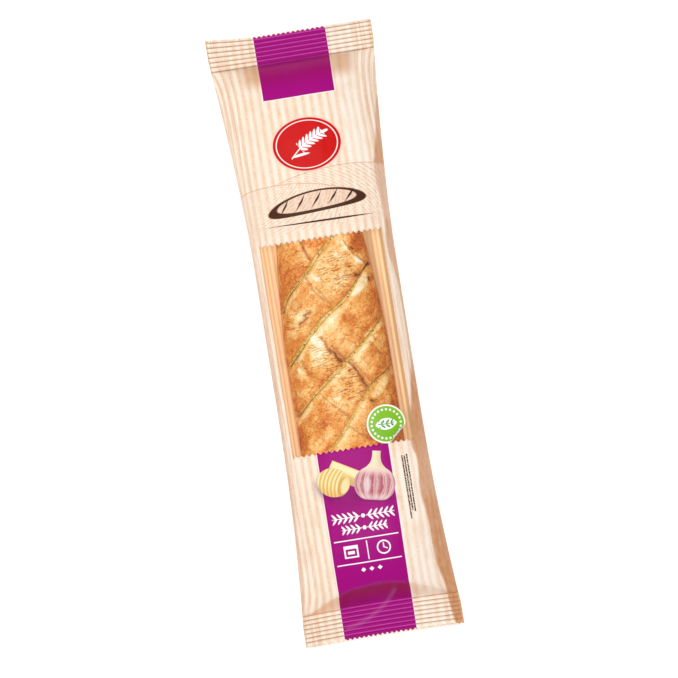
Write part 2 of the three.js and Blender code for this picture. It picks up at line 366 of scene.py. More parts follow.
class Board:
    """A material under construction, with short names for its nodes."""

    def __init__(self, name: str) -> None:
        """Makes an empty material with its output and one Principled shader.

        Args:
            name: the material's name.
        """
        self.material = bpy.data.materials.new(name)
        self.material.use_nodes = True
        self.tree = self.material.node_tree
        self.tree.nodes.clear()
        output = self.tree.nodes.new("ShaderNodeOutputMaterial")
        self.shader = self.tree.nodes.new("ShaderNodeBsdfPrincipled")
        self.tree.links.new(self.shader.outputs[0], output.inputs["Surface"])
        self.colour: Wire | None = None

    def feed(self, socket: bpy.types.NodeSocket, value: Feed) -> None:
        """Links a wire to a socket, or sets the socket's own value.

        Args:
            socket: the input socket.
            value: a wire, the socket's own value, or nothing.
        """
        if isinstance(value, Wire):
            self.tree.links.new(value.socket, socket)
        elif value is not None:
            socket.default_value = value

    def node(self, kind: str, inputs: dict[int | str, Feed], result: int | str = 0, **settings: str) -> Wire:
        """Adds a node.

        Args:
            kind: the node's type, after ShaderNode.
            inputs: what goes into its sockets, each by its name or its place.
            result: the output that is used, by its name or its place.
            settings: the node's own settings.

        Returns:
            The wire of the result.
        """
        made = self.tree.nodes.new(f"ShaderNode{kind}")
        for key, value in settings.items():
            setattr(made, key, value)
        for key, value in inputs.items():
            self.feed(made.inputs[key], value)
        return Wire(self, made.outputs[result])

    def math(self, operation: str, *values: Signal) -> Wire:
        """A Math node with its operation."""
        return self.node("Math", dict(enumerate(values)), operation=operation)

    def lower(self, *values: Signal) -> Wire:
        """The lowest of two or more numbers."""
        return reduce(lambda lowest, value: self.math("MINIMUM", value, lowest), reversed(values))

    def higher(self, a: Signal, b: Signal) -> Wire:
        """The higher of two numbers."""
        return self.math("MAXIMUM", a, b)

    def root(self, a: Signal) -> Wire:
        """The square root of a number."""
        return self.math("SQRT", self.higher(a, 0.0))

    def far(self, u: Wire, v: Wire) -> Wire:
        """How far a place is from the middle."""
        return self.root(u * u + v * v)

    def wave(self, turns: Wire) -> Wire:
        """A cosine that goes through one period for each whole turn."""
        return self.math("COSINE", turns * math.tau)

    def cell(self, value: Wire, half: float) -> Wire:
        """A number that starts again in each cell, from minus half a cell to half a cell."""
        return self.math("WRAP", value, half, -half)

    def fall(self, value: Signal, start: float, end: float) -> Wire:
        """Goes smoothly from 0 at start to 1 at end."""
        return self.node("MapRange", {"Value": value, "From Min": start, "From Max": end},
                         interpolation_type="SMOOTHSTEP")

    def edge(self, distance: Wire, blur: float = 0.25) -> Wire:
        """A mask that is 1 where a distance in mm is above 0, with a slightly soft edge."""
        return self.fall(distance, -blur / 2, blur / 2)

    def mix(self, under: Feed, over: Feed, share: Signal) -> Wire:
        """Lays one colour over another."""
        return self.node("Mix", {0: share, 6: under, 7: over}, 2, data_type="RGBA")

    def ground(self, under: str, over: str, share: Wire) -> None:
        """Starts the material's colour, between two screen colours."""
        self.colour = self.mix(paint(under), paint(over), share)

    def lay(self, code: str, mask: Wire) -> None:
        """Lays a screen colour on the material through a mask."""
        self.colour = self.mix(self.colour, paint(code), mask)

    def stamp(self, code: str, distance: Wire, blur: float = 0.25, share: Signal = 1.0) -> None:
        """Lays a screen colour where a distance in mm is above 0, with a soft edge."""
        mask = self.edge(distance, blur)
        self.lay(code, mask if share == 1.0 else mask * share)

    def place(self, x: Signal = 0.0, y: Signal = 0.0, z: Signal = 0.0) -> Wire:
        """Three numbers as one place."""
        return self.node("CombineXYZ", {"X": x, "Y": y, "Z": z})

    def split(self, place: Wire) -> tuple[Wire, ...]:
        """The three numbers of a place."""
        made = self.node("SeparateXYZ", {0: place}).socket.node
        return tuple(Wire(self, out) for out in made.outputs)

    def object_mm(self) -> Wire:
        """The place on the object, in millimetres."""
        place = self.node("TexCoord", {}, "Object")
        return self.node("VectorMath", {0: place, "Scale": 1 / MM}, operation="SCALE")

    def print_mm(self) -> tuple[Wire, Wire]:
        """The place on the flat print, in millimetres: across and along."""
        across, along, _ = self.split(self.node("UVMap", {}, uv_map="print"))
        return across * (1 / MM), along * (1 / MM)

    def value_of(self, name: str) -> Wire:
        """A number that the mesh stores for each vertex."""
        return self.node("Attribute", {}, "Fac", attribute_name=name)

    def noise(self, place: Wire, size: float, layers: float = 2.0, rough: float = 0.5,
              result: int | str = 0) -> Wire:
        """Cloudy noise from 0 to 1, its clouds about size mm across, with layers of finer ones."""
        inputs = {"Vector": place, "Scale": 1 / size, "Detail": layers, "Roughness": rough}
        return self.node("TexNoise", inputs, result)

    def flakes(self, place: Wire, size: float, reading: Flake) -> Wire:
        """Irregular cells about size mm across: each one's colour, or the distance to its edge."""
        feature, result = reading.value
        return self.node("TexVoronoi", {"Vector": place, "Scale": 1 / size}, result, feature=feature)

    def warped(self, place: Wire, size: float, reach: float) -> Wire:
        """A place moved about by cloudy noise, up to about half the reach in mm."""
        start = self.node("VectorMath", {0: place, 1: (-reach / 2,) * 3}, operation="ADD")
        inputs = {0: self.noise(place, size, result="Color"), 1: (reach,) * 3, 2: start}
        return self.node("VectorMath", inputs, operation="MULTIPLY_ADD")

    def turned(self, place: Wire, degrees: float, long: tuple[float, float, float]) -> Wire:
        """A place along turned axes, each drawn out so that a pattern there is that much longer."""
        inputs = {"Vector": place, "Rotation": (0.0, 0.0, math.radians(degrees)), "Scale": long}
        return self.node("Mapping", inputs, vector_type="TEXTURE")

    def curve(self, value: Wire, points: Sequence[Pair]) -> Wire:
        """A smooth curve.

        Args:
            value: the position on it, from 0 to 1.
            points: a few (position, height) pairs that it passes through, both from 0 to 1.

        Returns:
            The height.
        """
        bent = self.node("FloatCurve", {"Value": value})
        mapping = bent.socket.node.mapping
        mapping.curves[0].points[0].location, mapping.curves[0].points[1].location = points[:2]
        for point in points[2:]:
            mapping.curves[0].points.new(*point)
        mapping.update()
        return bent

    def ramp_of(self, value: Wire, stops: Sequence[tuple[float, str]]) -> Wire:
        """A scale of colours.

        Args:
            value: the position on it, from 0 to 1.
            stops: the position of each screen colour.

        Returns:
            The colour.
        """
        scaled = self.node("ValToRGB", {0: value})
        stretches = scaled.socket.node.color_ramp.elements
        for index, (position, code) in enumerate(stops):
            stop = stretches[index] if index < 2 else stretches.new(position)
            stop.position, stop.color = position, paint(code)
        return scaled

    def bump(self, height: Wire, depth_mm: float, under: Wire | None = None) -> Wire:
        """Fine relief from a height between 0 and 1, over other relief if there is any."""
        return self.node("Bump", {"Strength": 1.0, "Distance": depth_mm * MM, "Height": height, "Normal": under})

    def finish(self, roughness: Signal, normal: Wire | None = None, **fixed: Feed) -> Material:
        """Feeds the shader.

        Args:
            roughness: a wire or a number.
            normal: relief, if there is any.
            fixed: other inputs of the shader, the same all over.

        Returns:
            The finished material.
        """
        for name, value in (("Base Color", self.colour), ("Roughness", roughness), ("Normal", normal)):
            self.feed(self.shader.inputs[name], value)
        for key, value in fixed.items():
            self.shader.inputs[key.replace("_", " ")].default_value = value
        return self.material


# ---- the pack's form


@dataclass(frozen=True)
class PackForm:
    """The outer form of the pack, as its solid has it."""

    length: float = 340.0
    height: float = 39.5
    waist: float = 78.4
    head: float = 92.0
    foot: float = 88.0
    seal_depth: float = 18.5
    seal_height: float = 14.0
    side_height: float = 19.0
    end_droop: float = 3.5
    crimps: int = 7
    crimp_pitch: float = 2.4
    crimp_rise: float = 0.35
    cut_tooth: float = 1.2
    head_edge: float = 167.6
    foot_edge: float = -169.1
    window_width: float = 68.2
    window_x: float = -0.6
    window_top: float = 53.2
    window_foot: float = -65.8
    window_teeth: int = 22
    window_tooth: float = 1.5
    fin_width: float = 12.0
    fin_thickness: float = 0.5
    skin: float = 0.16
    fin_rib: float = 1.6
    back_print: float = 300.0
    fin_print: float = 400.0

    @property
    def seal_line(self) -> float:
        """Distance from the pack's middle to the innermost crimp."""
        return self.length / 2 - self.seal_depth

    @property
    def window_left(self) -> float:
        """The window's left edge."""
        return self.window_x - self.window_width / 2

    @property
    def window_right(self) -> float:
        """The window's right edge."""
        return self.window_x + self.window_width / 2

    def inward(self, y: Numbers, run: float) -> Numbers:
        """How far in from the seals y is: 0 at the seal, 1 after the run."""
        return (self.seal_line - np.abs(y)) / run

    def half_width(self, y: Numbers) -> Numbers:
        """Half the pack's width.

        Args:
            y: places along the pack.

        Returns:
            Half the width there.
        """
        waist_half_length = 40.0
        end = np.where(y > 0, self.head, self.foot) / 2
        flare = np.where(y > 0, 1.6, 2.2)
        t = (np.abs(y) - waist_half_length) / (self.seal_line + 6 - waist_half_length)
        return blend(self.waist / 2, end, np.clip(t, 0.0, 1.0) ** flare)

    def seal_level(self, y: Numbers) -> Numbers:
        """Height of the flattened ends, which droop towards their cut edges."""
        return self.seal_height - self.end_droop * np.clip(-self.inward(y, self.seal_depth), 0.0, 1.0)

    def side_level(self, y: Numbers) -> Numbers:
        """Height of the side folds."""
        return blend(self.seal_level(y), self.side_height, ramp(self.inward(y, 60.0), 0.0, 1.0))

    def crest(self, u: Numbers, y: Numbers) -> Numbers:
        """Height of the top sheet's middle, hollow next to a seal up to a bowed break.

        Args:
            u: places across, as a share of the half width.
            y: places along the pack.

        Returns:
            The height there.
        """
        t = np.clip(self.inward(y, 44.0), 0.0, 1.0)
        break_at = np.where(y < 0, 0.27, 0.0) * np.maximum(0.0, 1 - u * u) ** 1.5
        hollow = shoulder(break_at, 2.5) * np.minimum(t / np.maximum(break_at, 1e-6), 1.0) ** 1.3
        rise = np.where(t < break_at, hollow, shoulder(t, 2.5))
        return blend(self.seal_level(y), self.height, rise)

    def keel(self, y: Numbers) -> Numbers:
        """Height of the bottom sheet where it is lowest."""
        return blend(self.seal_level(y), 0.0, shoulder(self.inward(y, 32.0), 2.3))

    def fin_lift(self, x: Numbers, y: Numbers) -> Numbers:
        """How far the fin seal lifts the bottom sheet."""
        across = np.clip(2 - np.abs(x) / (self.fin_width / 2), 0.0, 1.0)
        return self.fin_thickness * across * np.clip(self.inward(y, self.fin_width), 0.0, 1.0)

    def crimp(self, y: Numbers) -> Numbers:
        """The ribs pressed into both layers of a seal.

        Args:
            y: places along the pack.

        Returns:
            Their height there, 0 away from the seals.
        """
        depth = np.abs(y) - self.seal_line
        inside = (depth >= 0) & (depth <= self.crimps * self.crimp_pitch)
        return np.where(inside, self.crimp_rise * np.cos(math.tau * depth / self.crimp_pitch), 0.0)

    def top(self, x: Numbers, y: Numbers) -> Numbers:
        """Height of the printed sheet.

        Args:
            x: places across the pack.
            y: places along the pack.

        Returns:
            The height there.
        """
        u = x / self.half_width(y)
        fullness = blend(1.15, 2.0, ramp(self.inward(y, 70.0), 0.0, 1.0))
        side = self.side_level(y)
        rise = (self.crest(u, y) - side) * arch(u, 2.5, fullness)
        return side + np.maximum(rise, self.skin * arch(u, 16, 2)) + self.crimp(y)

    def bottom(self, x: Numbers, y: Numbers) -> Numbers:
        """Height of the sheet that the pack lies on.

        Args:
            x: places across the pack.
            y: places along the pack.

        Returns:
            The height there.
        """
        flat_share = 0.52
        u = np.abs(x / self.half_width(y))
        side = self.side_level(y)
        climb = np.clip((u - flat_share) / (1 - flat_share), 0.0, 1.0) ** 1.25
        drop = (side - self.keel(y)) * (1 - climb)
        sunk = np.maximum(drop, self.skin * arch(u, 16, 2))
        return side - sunk + self.crimp(y) + self.fin_lift(x, y)

    def bow(self, x: Numbers, y: Numbers) -> Numbers:
        """How far the seals bend along the pack, as they aren't quite square to it.

        Args:
            x: places across the pack.
            y: places along the pack.

        Returns:
            The shift along the pack there.
        """
        corner = np.maximum(0.0, -x - 18) / 28
        head = 2.8 * corner**1.3 * ramp(y, self.seal_line - 4, self.length / 2 + 4)
        foot = -0.9 * (x / 44) ** 2 * ramp(-y, self.seal_line - 14, self.seal_line + 2)
        return head + foot

    def arc(self, y: Array, top: bool = True, samples: int = 321) -> tuple[Array, Array]:
        """Measures the sections of one sheet.

        Args:
            y: the sections' places, one dimension.
            top: the printed sheet, or else the sheet underneath.
            samples: points in each section.

        Returns:
            Places across, and the length from the middle to each, both sections by samples.
        """
        x = self.half_width(y)[:, None] * np.sin(np.linspace(-1, 1, samples) * math.pi / 2)
        z = (self.top if top else self.bottom)(x, y[:, None])
        step = np.hypot(np.diff(x, axis=1), np.diff(z, axis=1))
        s = np.concatenate([np.zeros((len(y), 1)), np.cumsum(step, axis=1)], axis=1)
        return x, s - s[:, samples // 2][:, None]


@dataclass(frozen=True)
class Crease:
    """A soft ridge or dent in a sheet, from one place to another."""

    start: Pair
    end: Pair
    height: float
    width: float

    def over(self, x: Numbers, y: Numbers) -> Numbers:
        """Height of the crease at places in the plane, tapered to both its ends.

        Args:
            x: places across the pack.
            y: places along the pack.

        Returns:
            The height there.
        """
        ax, ay = self.start
        dx, dy = self.end[0] - ax, self.end[1] - ay
        t = ((x - ax) * dx + (y - ay) * dy) / (dx * dx + dy * dy)
        away = np.hypot(x - ax - dx * np.clip(t, 0, 1), y - ay - dy * np.clip(t, 0, 1))
        taper = np.sin(math.pi * np.clip(0.08 + 0.84 * t, 0.0, 1.0)) ** 0.6
        return self.height * hump(away, self.width) * taper


# ---- the printed film


@dataclass(frozen=True)
class FilmInks:
    """The colours of the print, and of its painted shade and highlights, as the screen shows them."""

    cream: str = "F9E7D4"
    rib: str = "E3B892"
    deep_rib: str = "D79A68"
    between_ribs: str = "FFF6EA"
    # colour of a painted highlight
    painted_highlight_paper: str = "FFF9F2"
    edge_streak: str = "DDAE8C"
    blotch: str = "E6C4A2"
    side_shade: str = "C0752E"
    berry: str = "A2067A"
    berry_light: str = "C44FA6"
    # colour of the painted shade on the foot's band
    berry_foot_shade: str = "960C42"
    berry_shade: str = "9A0862"
    # colour of a painted highlight along a crease
    berry_crease_highlight: str = "E0A6CF"
    band_line: str = "FFF3EA"
    red: str = "CA0200"
    badge_halo: str = "F3C9B4"
    white: str = "FFFDFB"
    bark: str = "4A2A17"
    etching: str = "D0977A"
    hill: str = "F7E3CE"
    butter: str = "EDCB7E"
    butter_light: str = "FBE7B4"
    butter_dark: str = "D49A44"
    cast_shade: str = "6E0A55"
    bulb: str = "EBC4C2"
    bulb_stripe: str = "B45C68"
    bulb_line: str = "9C4458"
    bulb_neck: str = "EFE0C0"
    bulb_glint: str = "FFFFFF"
    bulb_foot: str = "F6DCD8"
    bulb_rim: str = "9E5A78"
    neck_shade: str = "C7A873"
    crimp_line: str = "A87452"
    head_shade: str = "C98A4E"
    foot_shade: str = "FF9C44"
    # colour of the pressed fin lines and of the painted shadow beside the fin
    fin_line_and_shade: str = "B98A5C"


@dataclass
class FilmPrint:
    """The print of the film: kraft ribs, berry bands, a red oval and simple drawings, with painted shade along the
    sides, at the ends and beside the fin, and painted highlights.
    """

    form: PackForm
    inks: FilmInks
    rib_pitch: float = 4.75
    first_rib: float = 2.0
    band_line: float = 0.45
    band_end: float = 200.0
    head_band: tuple[float, float, float] = (-19.6, 20.5, 131.5)
    foot_band: Pair = (-21.6, 18.5)
    foot_slant: float = 0.0077
    shade_edge: Pairs = (
        (-170, 41), (-156, 37.6), (-148, 37.2), (-140, 35.4), (-132, 34.2), (-116, 33.7), (-104, 33.0),
        (-92, 31.6), (-84, 32.4), (-76, 32.8), (-68, 30.9), (-58, 31.5), (-50, 33.4), (-44, 34.6),
        (-36, 35.7), (-28, 37.0), (-18, 38.0), (6, 37.9), (20, 37.5), (30, 36.6), (44, 35.0), (56, 35.9),
        (68, 35.6), (84, 34.6), (92, 35.9), (100, 37.6), (108, 39.4), (118, 40.8), (127, 44.5))
    shade_strength: Pairs = (
        (-170, 0.84), (-104, 0.82), (-98, 0.78), (-92, 0.70), (-76, 0.72), (-66, 0.8), (-58, 0.86),
        (-36, 0.86), (-28, 0.76), (-18, 0.62), (12, 0.62), (50, 0.62), (66, 0.72), (84, 0.76),
        (94, 0.76), (102, 0.68), (126, 0.6))
    left_edge: Pairs = (
        (-157, 44.0), (-120, 41.2), (-80, 39.6), (-40, 39.2), (40, 39.2), (80, 40.4), (120, 42.9), (157, 46.0))
    bulb_outline: Pairs = (
        (0.0, 0.42), (0.06, 0.72), (0.2, 0.95), (0.34, 1.0), (0.47, 0.93), (0.58, 0.72), (0.68, 0.4),
        (0.8, 0.23), (1.0, 0.2))

    def __post_init__(self) -> None:
        """Starts the board with the places on the flat print, and finds the bands."""
        self.board = b = Board("printed_film")
        self.s, self.t = b.print_mm()
        self.on_band = b.higher(*self.band_slabs(0.0, 0.0))

    def turned(self, x: float, y: float, degrees: float = 0.0) -> tuple[Wire, Wire]:
        """Places measured from a point along axes that are turned anticlockwise."""
        return turned_axes(self.s - x, self.t - y, degrees)

    def cloud(self, across: float, along: float, size: float, layers: float = 2.0, rough: float = 0.5) -> Wire:
        """Noise on the print from 0 to 1, that many times finer across and along the pack."""
        s, t = (wire if share == 1.0 else wire * share for wire, share in ((self.s, across), (self.t, along)))
        return self.board.noise(self.board.place(s, t), size, layers, rough)

    def slab(self, x0: Signal, x1: Signal, y0: float, y1: float, blur: float = 0.25) -> Wire:
        """The mask of an upright rectangle."""
        inside = self.board.lower(self.s - x0, x1 - self.s, self.t - y0, y1 - self.t)
        return self.board.edge(inside, blur)

    def oval(self, u: Wire, v: Wire, a: float, c: float) -> Wire:
        """Rough distance in mm inside an oval with half axes a and c."""
        return (1.0 - self.board.far(u / a, v / c)) * min(a, c)

    def leaf_pairs(self, u: Wire, v: Wire, pitch: float, lean: float, long: float, wide: float) -> Wire:
        """Pairs of leaves that lean away from a stem.

        Args:
            u: distance from the stem.
            v: place along the stem.
            pitch: from one pair to the next.
            lean: their angle to the stem's normal, in degrees.
            long: a leaf's half length.
            wide: its half width.

        Returns:
            The distance inside the nearest leaf.
        """
        side = abs(u)
        cell = self.board.cell(v - side * math.tan(math.radians(lean)), pitch / 2)
        c, d = math.cos(math.radians(lean)), math.sin(math.radians(lean))
        out = side - long * c * 0.95
        return self.oval(out * c + cell * d, cell * c - out * d * 0.15, long, wide)

    def kraft(self) -> None:
        """Pale kraft paper with soft mottled ribs along the pack, a painted highlight on the right of the upper
        film, and the painted side shade.
        """
        b, i, s, t = self.board, self.inks, self.s, self.t
        drift = self.cloud(0.5, 0.06, 3.0) - 0.5
        rib = b.wave((s - self.first_rib + drift * 1.4) / self.rib_pitch) * 0.5 + 0.5
        grain = self.cloud(1.0, 0.8, 0.55, 3.0, 0.75)
        mottle = self.cloud(1.0, 0.4, 2.2, 3.0, 0.65)
        ribbed = (b.fall(rib, 0.3, 0.98) * 0.74 + 0.2) * (grain * 3.3 + mottle * 1.2 - 1.7)
        ribbed = ribbed * (1.0 - b.fall(abs(t - 2.0), 149.0, 153.0) * 0.35)
        b.ground(i.cream, i.rib, ribbed)
        b.lay(i.between_ribs, b.fall(rib, 0.45, 0.1) * (mottle * 0.8 - 0.1))
        speck = b.fall(self.cloud(1.0, 0.6, 0.55, 1.0), 0.58, 0.76)
        b.lay(i.deep_rib, speck * (ribbed * 0.66 + 0.2))
        # painted highlight: lightens the right of the upper film, which the lamps leave darker
        painted_highlight = b.fall(s, 16.0, 26.0) * b.fall(s, 37.0, 33.0) * b.fall(abs(t), 60.0, 80.0)
        b.lay(i.painted_highlight_paper, painted_highlight * 0.3)
        streak = self.cloud(1.0, 0.03, 1.5, 2.0, 0.6)
        edges = b.fall(abs(s), 33.0, 37.0)
        b.lay(i.edge_streak, edges * b.fall(streak, 0.50, 0.36) * (mottle * 0.5 + 0.2))
        b.lay(i.between_ribs, edges * b.fall(streak, 0.52, 0.66) * 0.6)
        b.lay(i.blotch, b.fall(self.cloud(1.0, 0.5, 9.0), 0.48, 0.75) * 0.4)
        self.side_shade(mottle)

    def along_pack(self, y: Wire, low: float, high: float, points: Pairs) -> Wire:
        """A value that changes along the pack.

        Args:
            y: the place along the pack.
            low: the lowest that the value may be.
            high: the highest that it may be.
            points: the (place, value) pairs that it passes through.

        Returns:
            The value.
        """
        length, span = self.form.length, high - low
        scaled = [((at + length / 2) / length, (value - low) / span) for at, value in points]
        return self.board.curve((y + length / 2) / length, scaled) * span + low

    def side_shade(self, mottle: Wire) -> None:
        """The tan shade along the right side, under its long soft fold, and a narrow one on the left.

        Args:
            mottle: the paper's own clouds.
        """
        b, ink = self.board, self.inks.side_shade
        x, y, _ = b.split(b.object_mm())
        on_front = b.fall(self.s, 150.0, 100.0) * 0.7 + 0.3
        band = b.fall(x - self.along_pack(y, 30.0, 45.0, self.shade_edge), -0.8, 0.9)
        strength = self.along_pack(y, 0.0, 1.0, self.shade_strength)
        b.lay(ink, band * strength * (mottle * 0.6 + 0.61) * on_front)
        left = b.fall(x + self.along_pack(y, 30.0, 50.0, self.left_edge), 2.6, 0.9) * b.fall(y, 150.0, -20.0)
        b.lay(ink, left * (mottle * 0.6 + 0.08) * on_front)

    def band_slabs(self, grown: float, lap: float) -> tuple[Wire, Wire]:
        """The masks of the head's and the foot's band.

        Args:
            grown: how far they are widened.
            lap: how far the foot's band runs on under the window's edge.

        Returns:
            The two masks.
        """
        left, right, start = self.head_band
        head = self.slab(left - grown, right + grown, start - grown, self.band_end)
        slant = (self.t - self.form.window_foot) * self.foot_slant
        left, right = (slant + side for side in self.foot_band)
        return head, self.slab(left - grown, right + grown, -self.band_end, self.form.window_foot + lap)

    def bands(self) -> None:
        """The berry bands at both ends, with a thin pale outline."""
        for ink, grown in ((self.inks.band_line, self.band_line), (self.inks.berry, 0.0)):
            for mask in self.band_slabs(grown, 4.0):
                self.board.lay(ink, mask)

    def oval_badge(self) -> None:
        """A red oval with a thin white line inside and an ear of wheat."""
        b, i = self.board, self.inks
        inside = self.oval(*self.turned(0.4, 104.6), 19.0, 14.6)
        b.stamp(i.badge_halo, inside + 0.9, 1.6, 0.7)
        b.stamp(i.red, inside)
        b.stamp(i.white, 0.22 - abs(inside - 1.5))
        u, v = self.turned(0.4, 105.6, -58.0)
        bend = u - v * v * 0.012
        grains = self.leaf_pairs(bend, v, 2.5, 40.0, 1.75, 0.78)
        stalk = b.lower(0.3 - abs(bend), v + 12.2, 10.4 - v)
        tip = self.oval(bend, v - 11.6, 0.8, 1.9)
        blade = self.oval(bend - 2.6 - (v + 7.0) * 0.62, v + 7.0, 0.75, 4.4)
        for shape in (b.lower(grains, v + 5.0, 10.6 - v), stalk, tip, blade):
            b.stamp(i.white, shape)

    def loaf_drawing(self) -> None:
        """A loaf in brown outline with slashes, over a tapered rule."""
        b, i = self.board, self.inks
        u, v = self.turned(0.6, 72.0, 3.0)
        swell = v - (u * u) * -0.0035 - 1.2
        body = self.oval(u, swell, 28.5, 6.1)
        pen = 0.48 + b.fall(swell, 3.0, -5.0) * 0.4
        b.stamp(i.etching, body, share=0.25)
        b.stamp(i.bark, pen - abs(body - 0.7))
        cell = b.cell(u - swell * 0.9, 4.6)
        high = abs(swell - 0.6)
        slash = 0.85 * (1.0 - high / 4.2) - abs(cell + swell * swell * 0.03)
        b.stamp(i.bark, b.lower(slash, 22.0 - abs(u), 3.9 - high))
        u, v = self.turned(-0.1, 61.8, -0.9)
        b.stamp(i.bark, 0.62 * (1.0 - (u / 32.0) * (u / 32.0)) * (u * 0.012 + 0.85) - abs(v))

    def field_drawing(self) -> None:
        """Faint hatched hills behind the loaf drawing."""
        b, i = self.board, self.inks
        wobble = (self.cloud(1.0, 1.0, 6.0) - 0.5) * 1.2
        broken = b.fall(self.cloud(0.5, 1.0, 1.6), 0.36, 0.52)
        for middle, top, bend, slope, lean, pitch in (
            (20.0, 90.5, -0.0042, -0.03, 0.55, 2.1), (-24.0, 84.5, -0.005, 0.04, -0.8, 1.7),
        ):
            across = self.s - middle
            below = across * across * bend + across * slope + top - self.t + wobble * 0.4
            reach = b.edge(b.lower(self.t - 58.0, 40.0 - abs(across)), 6.0)
            fan = b.wave((self.t + across * lean + across * below * 0.02 + wobble) / pitch)
            b.stamp(i.hill, below, 0.6, reach * 0.35)
            b.stamp(i.etching, below, 0.6, b.fall(fan, 0.45, 0.95) * 0.55 * broken * reach)
            b.stamp(i.etching, 0.22 - abs(below), 0.3, reach * 0.7)

    def butter_drawing(self) -> None:
        """A ribbed curl of butter with a flat slice behind it."""
        b, i = self.board, self.inks
        u, v = self.turned(-8.2, -78.2, -33.0)
        flat = b.lower(9.0 - abs(u), 4.6 - abs(v - u * 0.05))
        b.stamp(i.butter, flat)
        b.stamp(i.butter_light, b.lower(flat - 0.5, v - 0.4), 1.4)
        u, v = self.turned(-14.9, -82.0, -22.0)
        b.stamp(i.cast_shade, self.oval(u - 5.0, v + 4.0, 15.0, 9.0), 6.0, 0.3)
        b.stamp(i.cast_shade, self.oval(u + 0.5, v + 1.6, 9.2, 8.2), 2.6, 0.4)
        curl = self.oval(u, v, 9.2, 7.9)
        b.stamp(i.butter, curl)
        ribs = b.wave((u - v * v * 0.035) / 2.15)
        side = b.fall(u, 5.2, 3.6)
        b.stamp(i.butter_light, curl, share=b.fall(ribs, 0.0, 0.9) * side)
        b.stamp(i.butter_dark, curl, share=b.fall(ribs, -0.45, -1.0) * side * 0.65)
        b.stamp(i.butter_dark, curl, share=b.fall(v, -1.0, -7.5) * 0.5)
        b.stamp(i.butter_dark, self.oval(u - 5.6, v + 0.9, 2.6, 5.4), 0.6, 0.75)
        b.stamp(i.butter_light, self.oval(u - 6.5, v + 0.4, 1.9, 4.4), 0.8, 0.8)

    def garlic_drawing(self) -> None:
        """A striped garlic bulb with its neck up."""
        b, i = self.board, self.inks
        u, v = self.turned(7.6, -86.4, -12.0)
        rise = v + 8.6
        t = rise / 27.5
        half = b.curve(t, self.bulb_outline) * 11.4
        inside = b.lower(half - abs(u), rise, 27.0 - rise)
        b.stamp(i.cast_shade, self.oval(u, v + 6.6, 12.0, 3.4), 2.6, 0.5)
        b.stamp(i.bulb, inside, 0.35)
        across = b.math("ARCSINE", b.lower(b.higher(u / half, -1.0), 1.0))
        wobble = b.noise(b.place(across * 2.5, rise * 0.22), 1.0)
        stripe = b.wave(across * 2.1 + wobble * 0.7)
        low = b.fall(t, 0.64, 0.42)
        centre = b.edge(self.oval(u + 1.0, rise - 9.0, 9.0, 9.5), 6.0)
        b.stamp(i.bulb_stripe, inside, share=(b.fall(stripe, -0.3, 1.0) * 0.6 + centre * 0.35) * low)
        fine = b.wave(across * 6.3 + wobble * 1.6)
        b.stamp(i.bulb_line, inside, share=b.fall(fine, 0.2, 1.0) * low * 0.5)
        b.stamp(i.bulb_neck, inside, share=b.fall(t, 0.5, 0.7))
        b.stamp(i.bulb_glint, self.oval(u + 4.4, v + 0.5, 2.2, 4.2), 2.0, 0.35)
        b.stamp(i.bulb_foot, inside, share=b.fall(rise, 4.5, 1.0) * 0.5)
        b.stamp(i.bulb_rim, inside, share=b.fall(inside, 1.6, 0.0) * low * 0.35)
        b.stamp(i.neck_shade, inside, share=b.fall(u / half, -0.2, 0.9) * b.fall(t, 0.56, 0.74) * 0.4)

    def sprig_rows(self) -> None:
        """Two white garlands of leaves from a bead."""
        b = self.board
        for x, y, half, scale in ((-1.6, -102.4, 17.4, 1.0), (-1.8, -109.0, 12.6, 0.9)):
            v, u = self.turned(x, y)
            outward = abs(v)
            leaves = self.leaf_pairs(u, outward, 3.0 * scale, 38.0, 1.45 * scale, 0.6 * scale)
            ends = b.lower(outward - abs(u) * 0.78 - 1.5 * scale, half - outward)
            for shape in (b.lower(leaves, ends), b.lower(0.2 - abs(u), ends), self.oval(v, u, 1.1, 1.1)):
                b.stamp(self.inks.white, shape)

    def panel(self) -> None:
        """White rules, an oven and a clock, and three small lozenges."""
        b, white = self.board, self.inks.white
        for rule in ((-20.0, 16.2, -115.1, -114.5), (-20.2, 16.0, -128.3, -127.7), (-2.3, -1.75, -126.6, -116.2)):
            b.lay(white, self.slab(*rule))
        u, v = self.turned(-11.2, -121.2)
        boxes = ((white, 0.0, 4.0, 3.4), (self.inks.berry, 0.5, 3.1, 2.1), (white, 0.5, 1.9, 0.85))
        for ink, drop, wide, high in boxes:
            b.stamp(ink, b.lower(wide - abs(u), high - abs(v + drop)))
        u, v = self.turned(7.0, -121.2)
        rim = 0.38 - abs(self.oval(u, v, 3.9, 3.9) - 0.4)
        hands = (b.lower(0.3 - abs(u), 1.35 - abs(v - 1.15)), b.lower(0.3 - abs(v + u * 0.5), 1.1 - abs(u - 0.9)))
        u, v = self.turned(-1.4, -131.9)
        lozenges = b.lower(1.35 - (abs(b.cell(u, 2.3)) + abs(v) * 1.1), 6.8 - abs(u))
        for shape in (rim, *hands, lozenges):
            b.stamp(white, shape)

    def side_lines(self) -> None:
        """Three thin broken lines up the side."""
        broken = self.board.fall(self.cloud(2.0, 1.0, 0.8, 1.0), 0.36, 0.46)
        for x, top, foot in ((28.0, -72.6, -104.6), (26.5, -73.4, -103.6), (25.1, -73.0, -108.4)):
            self.board.lay(self.inks.bark, self.slab(x - 0.46, x + 0.46, foot, top, 0.3) * broken)

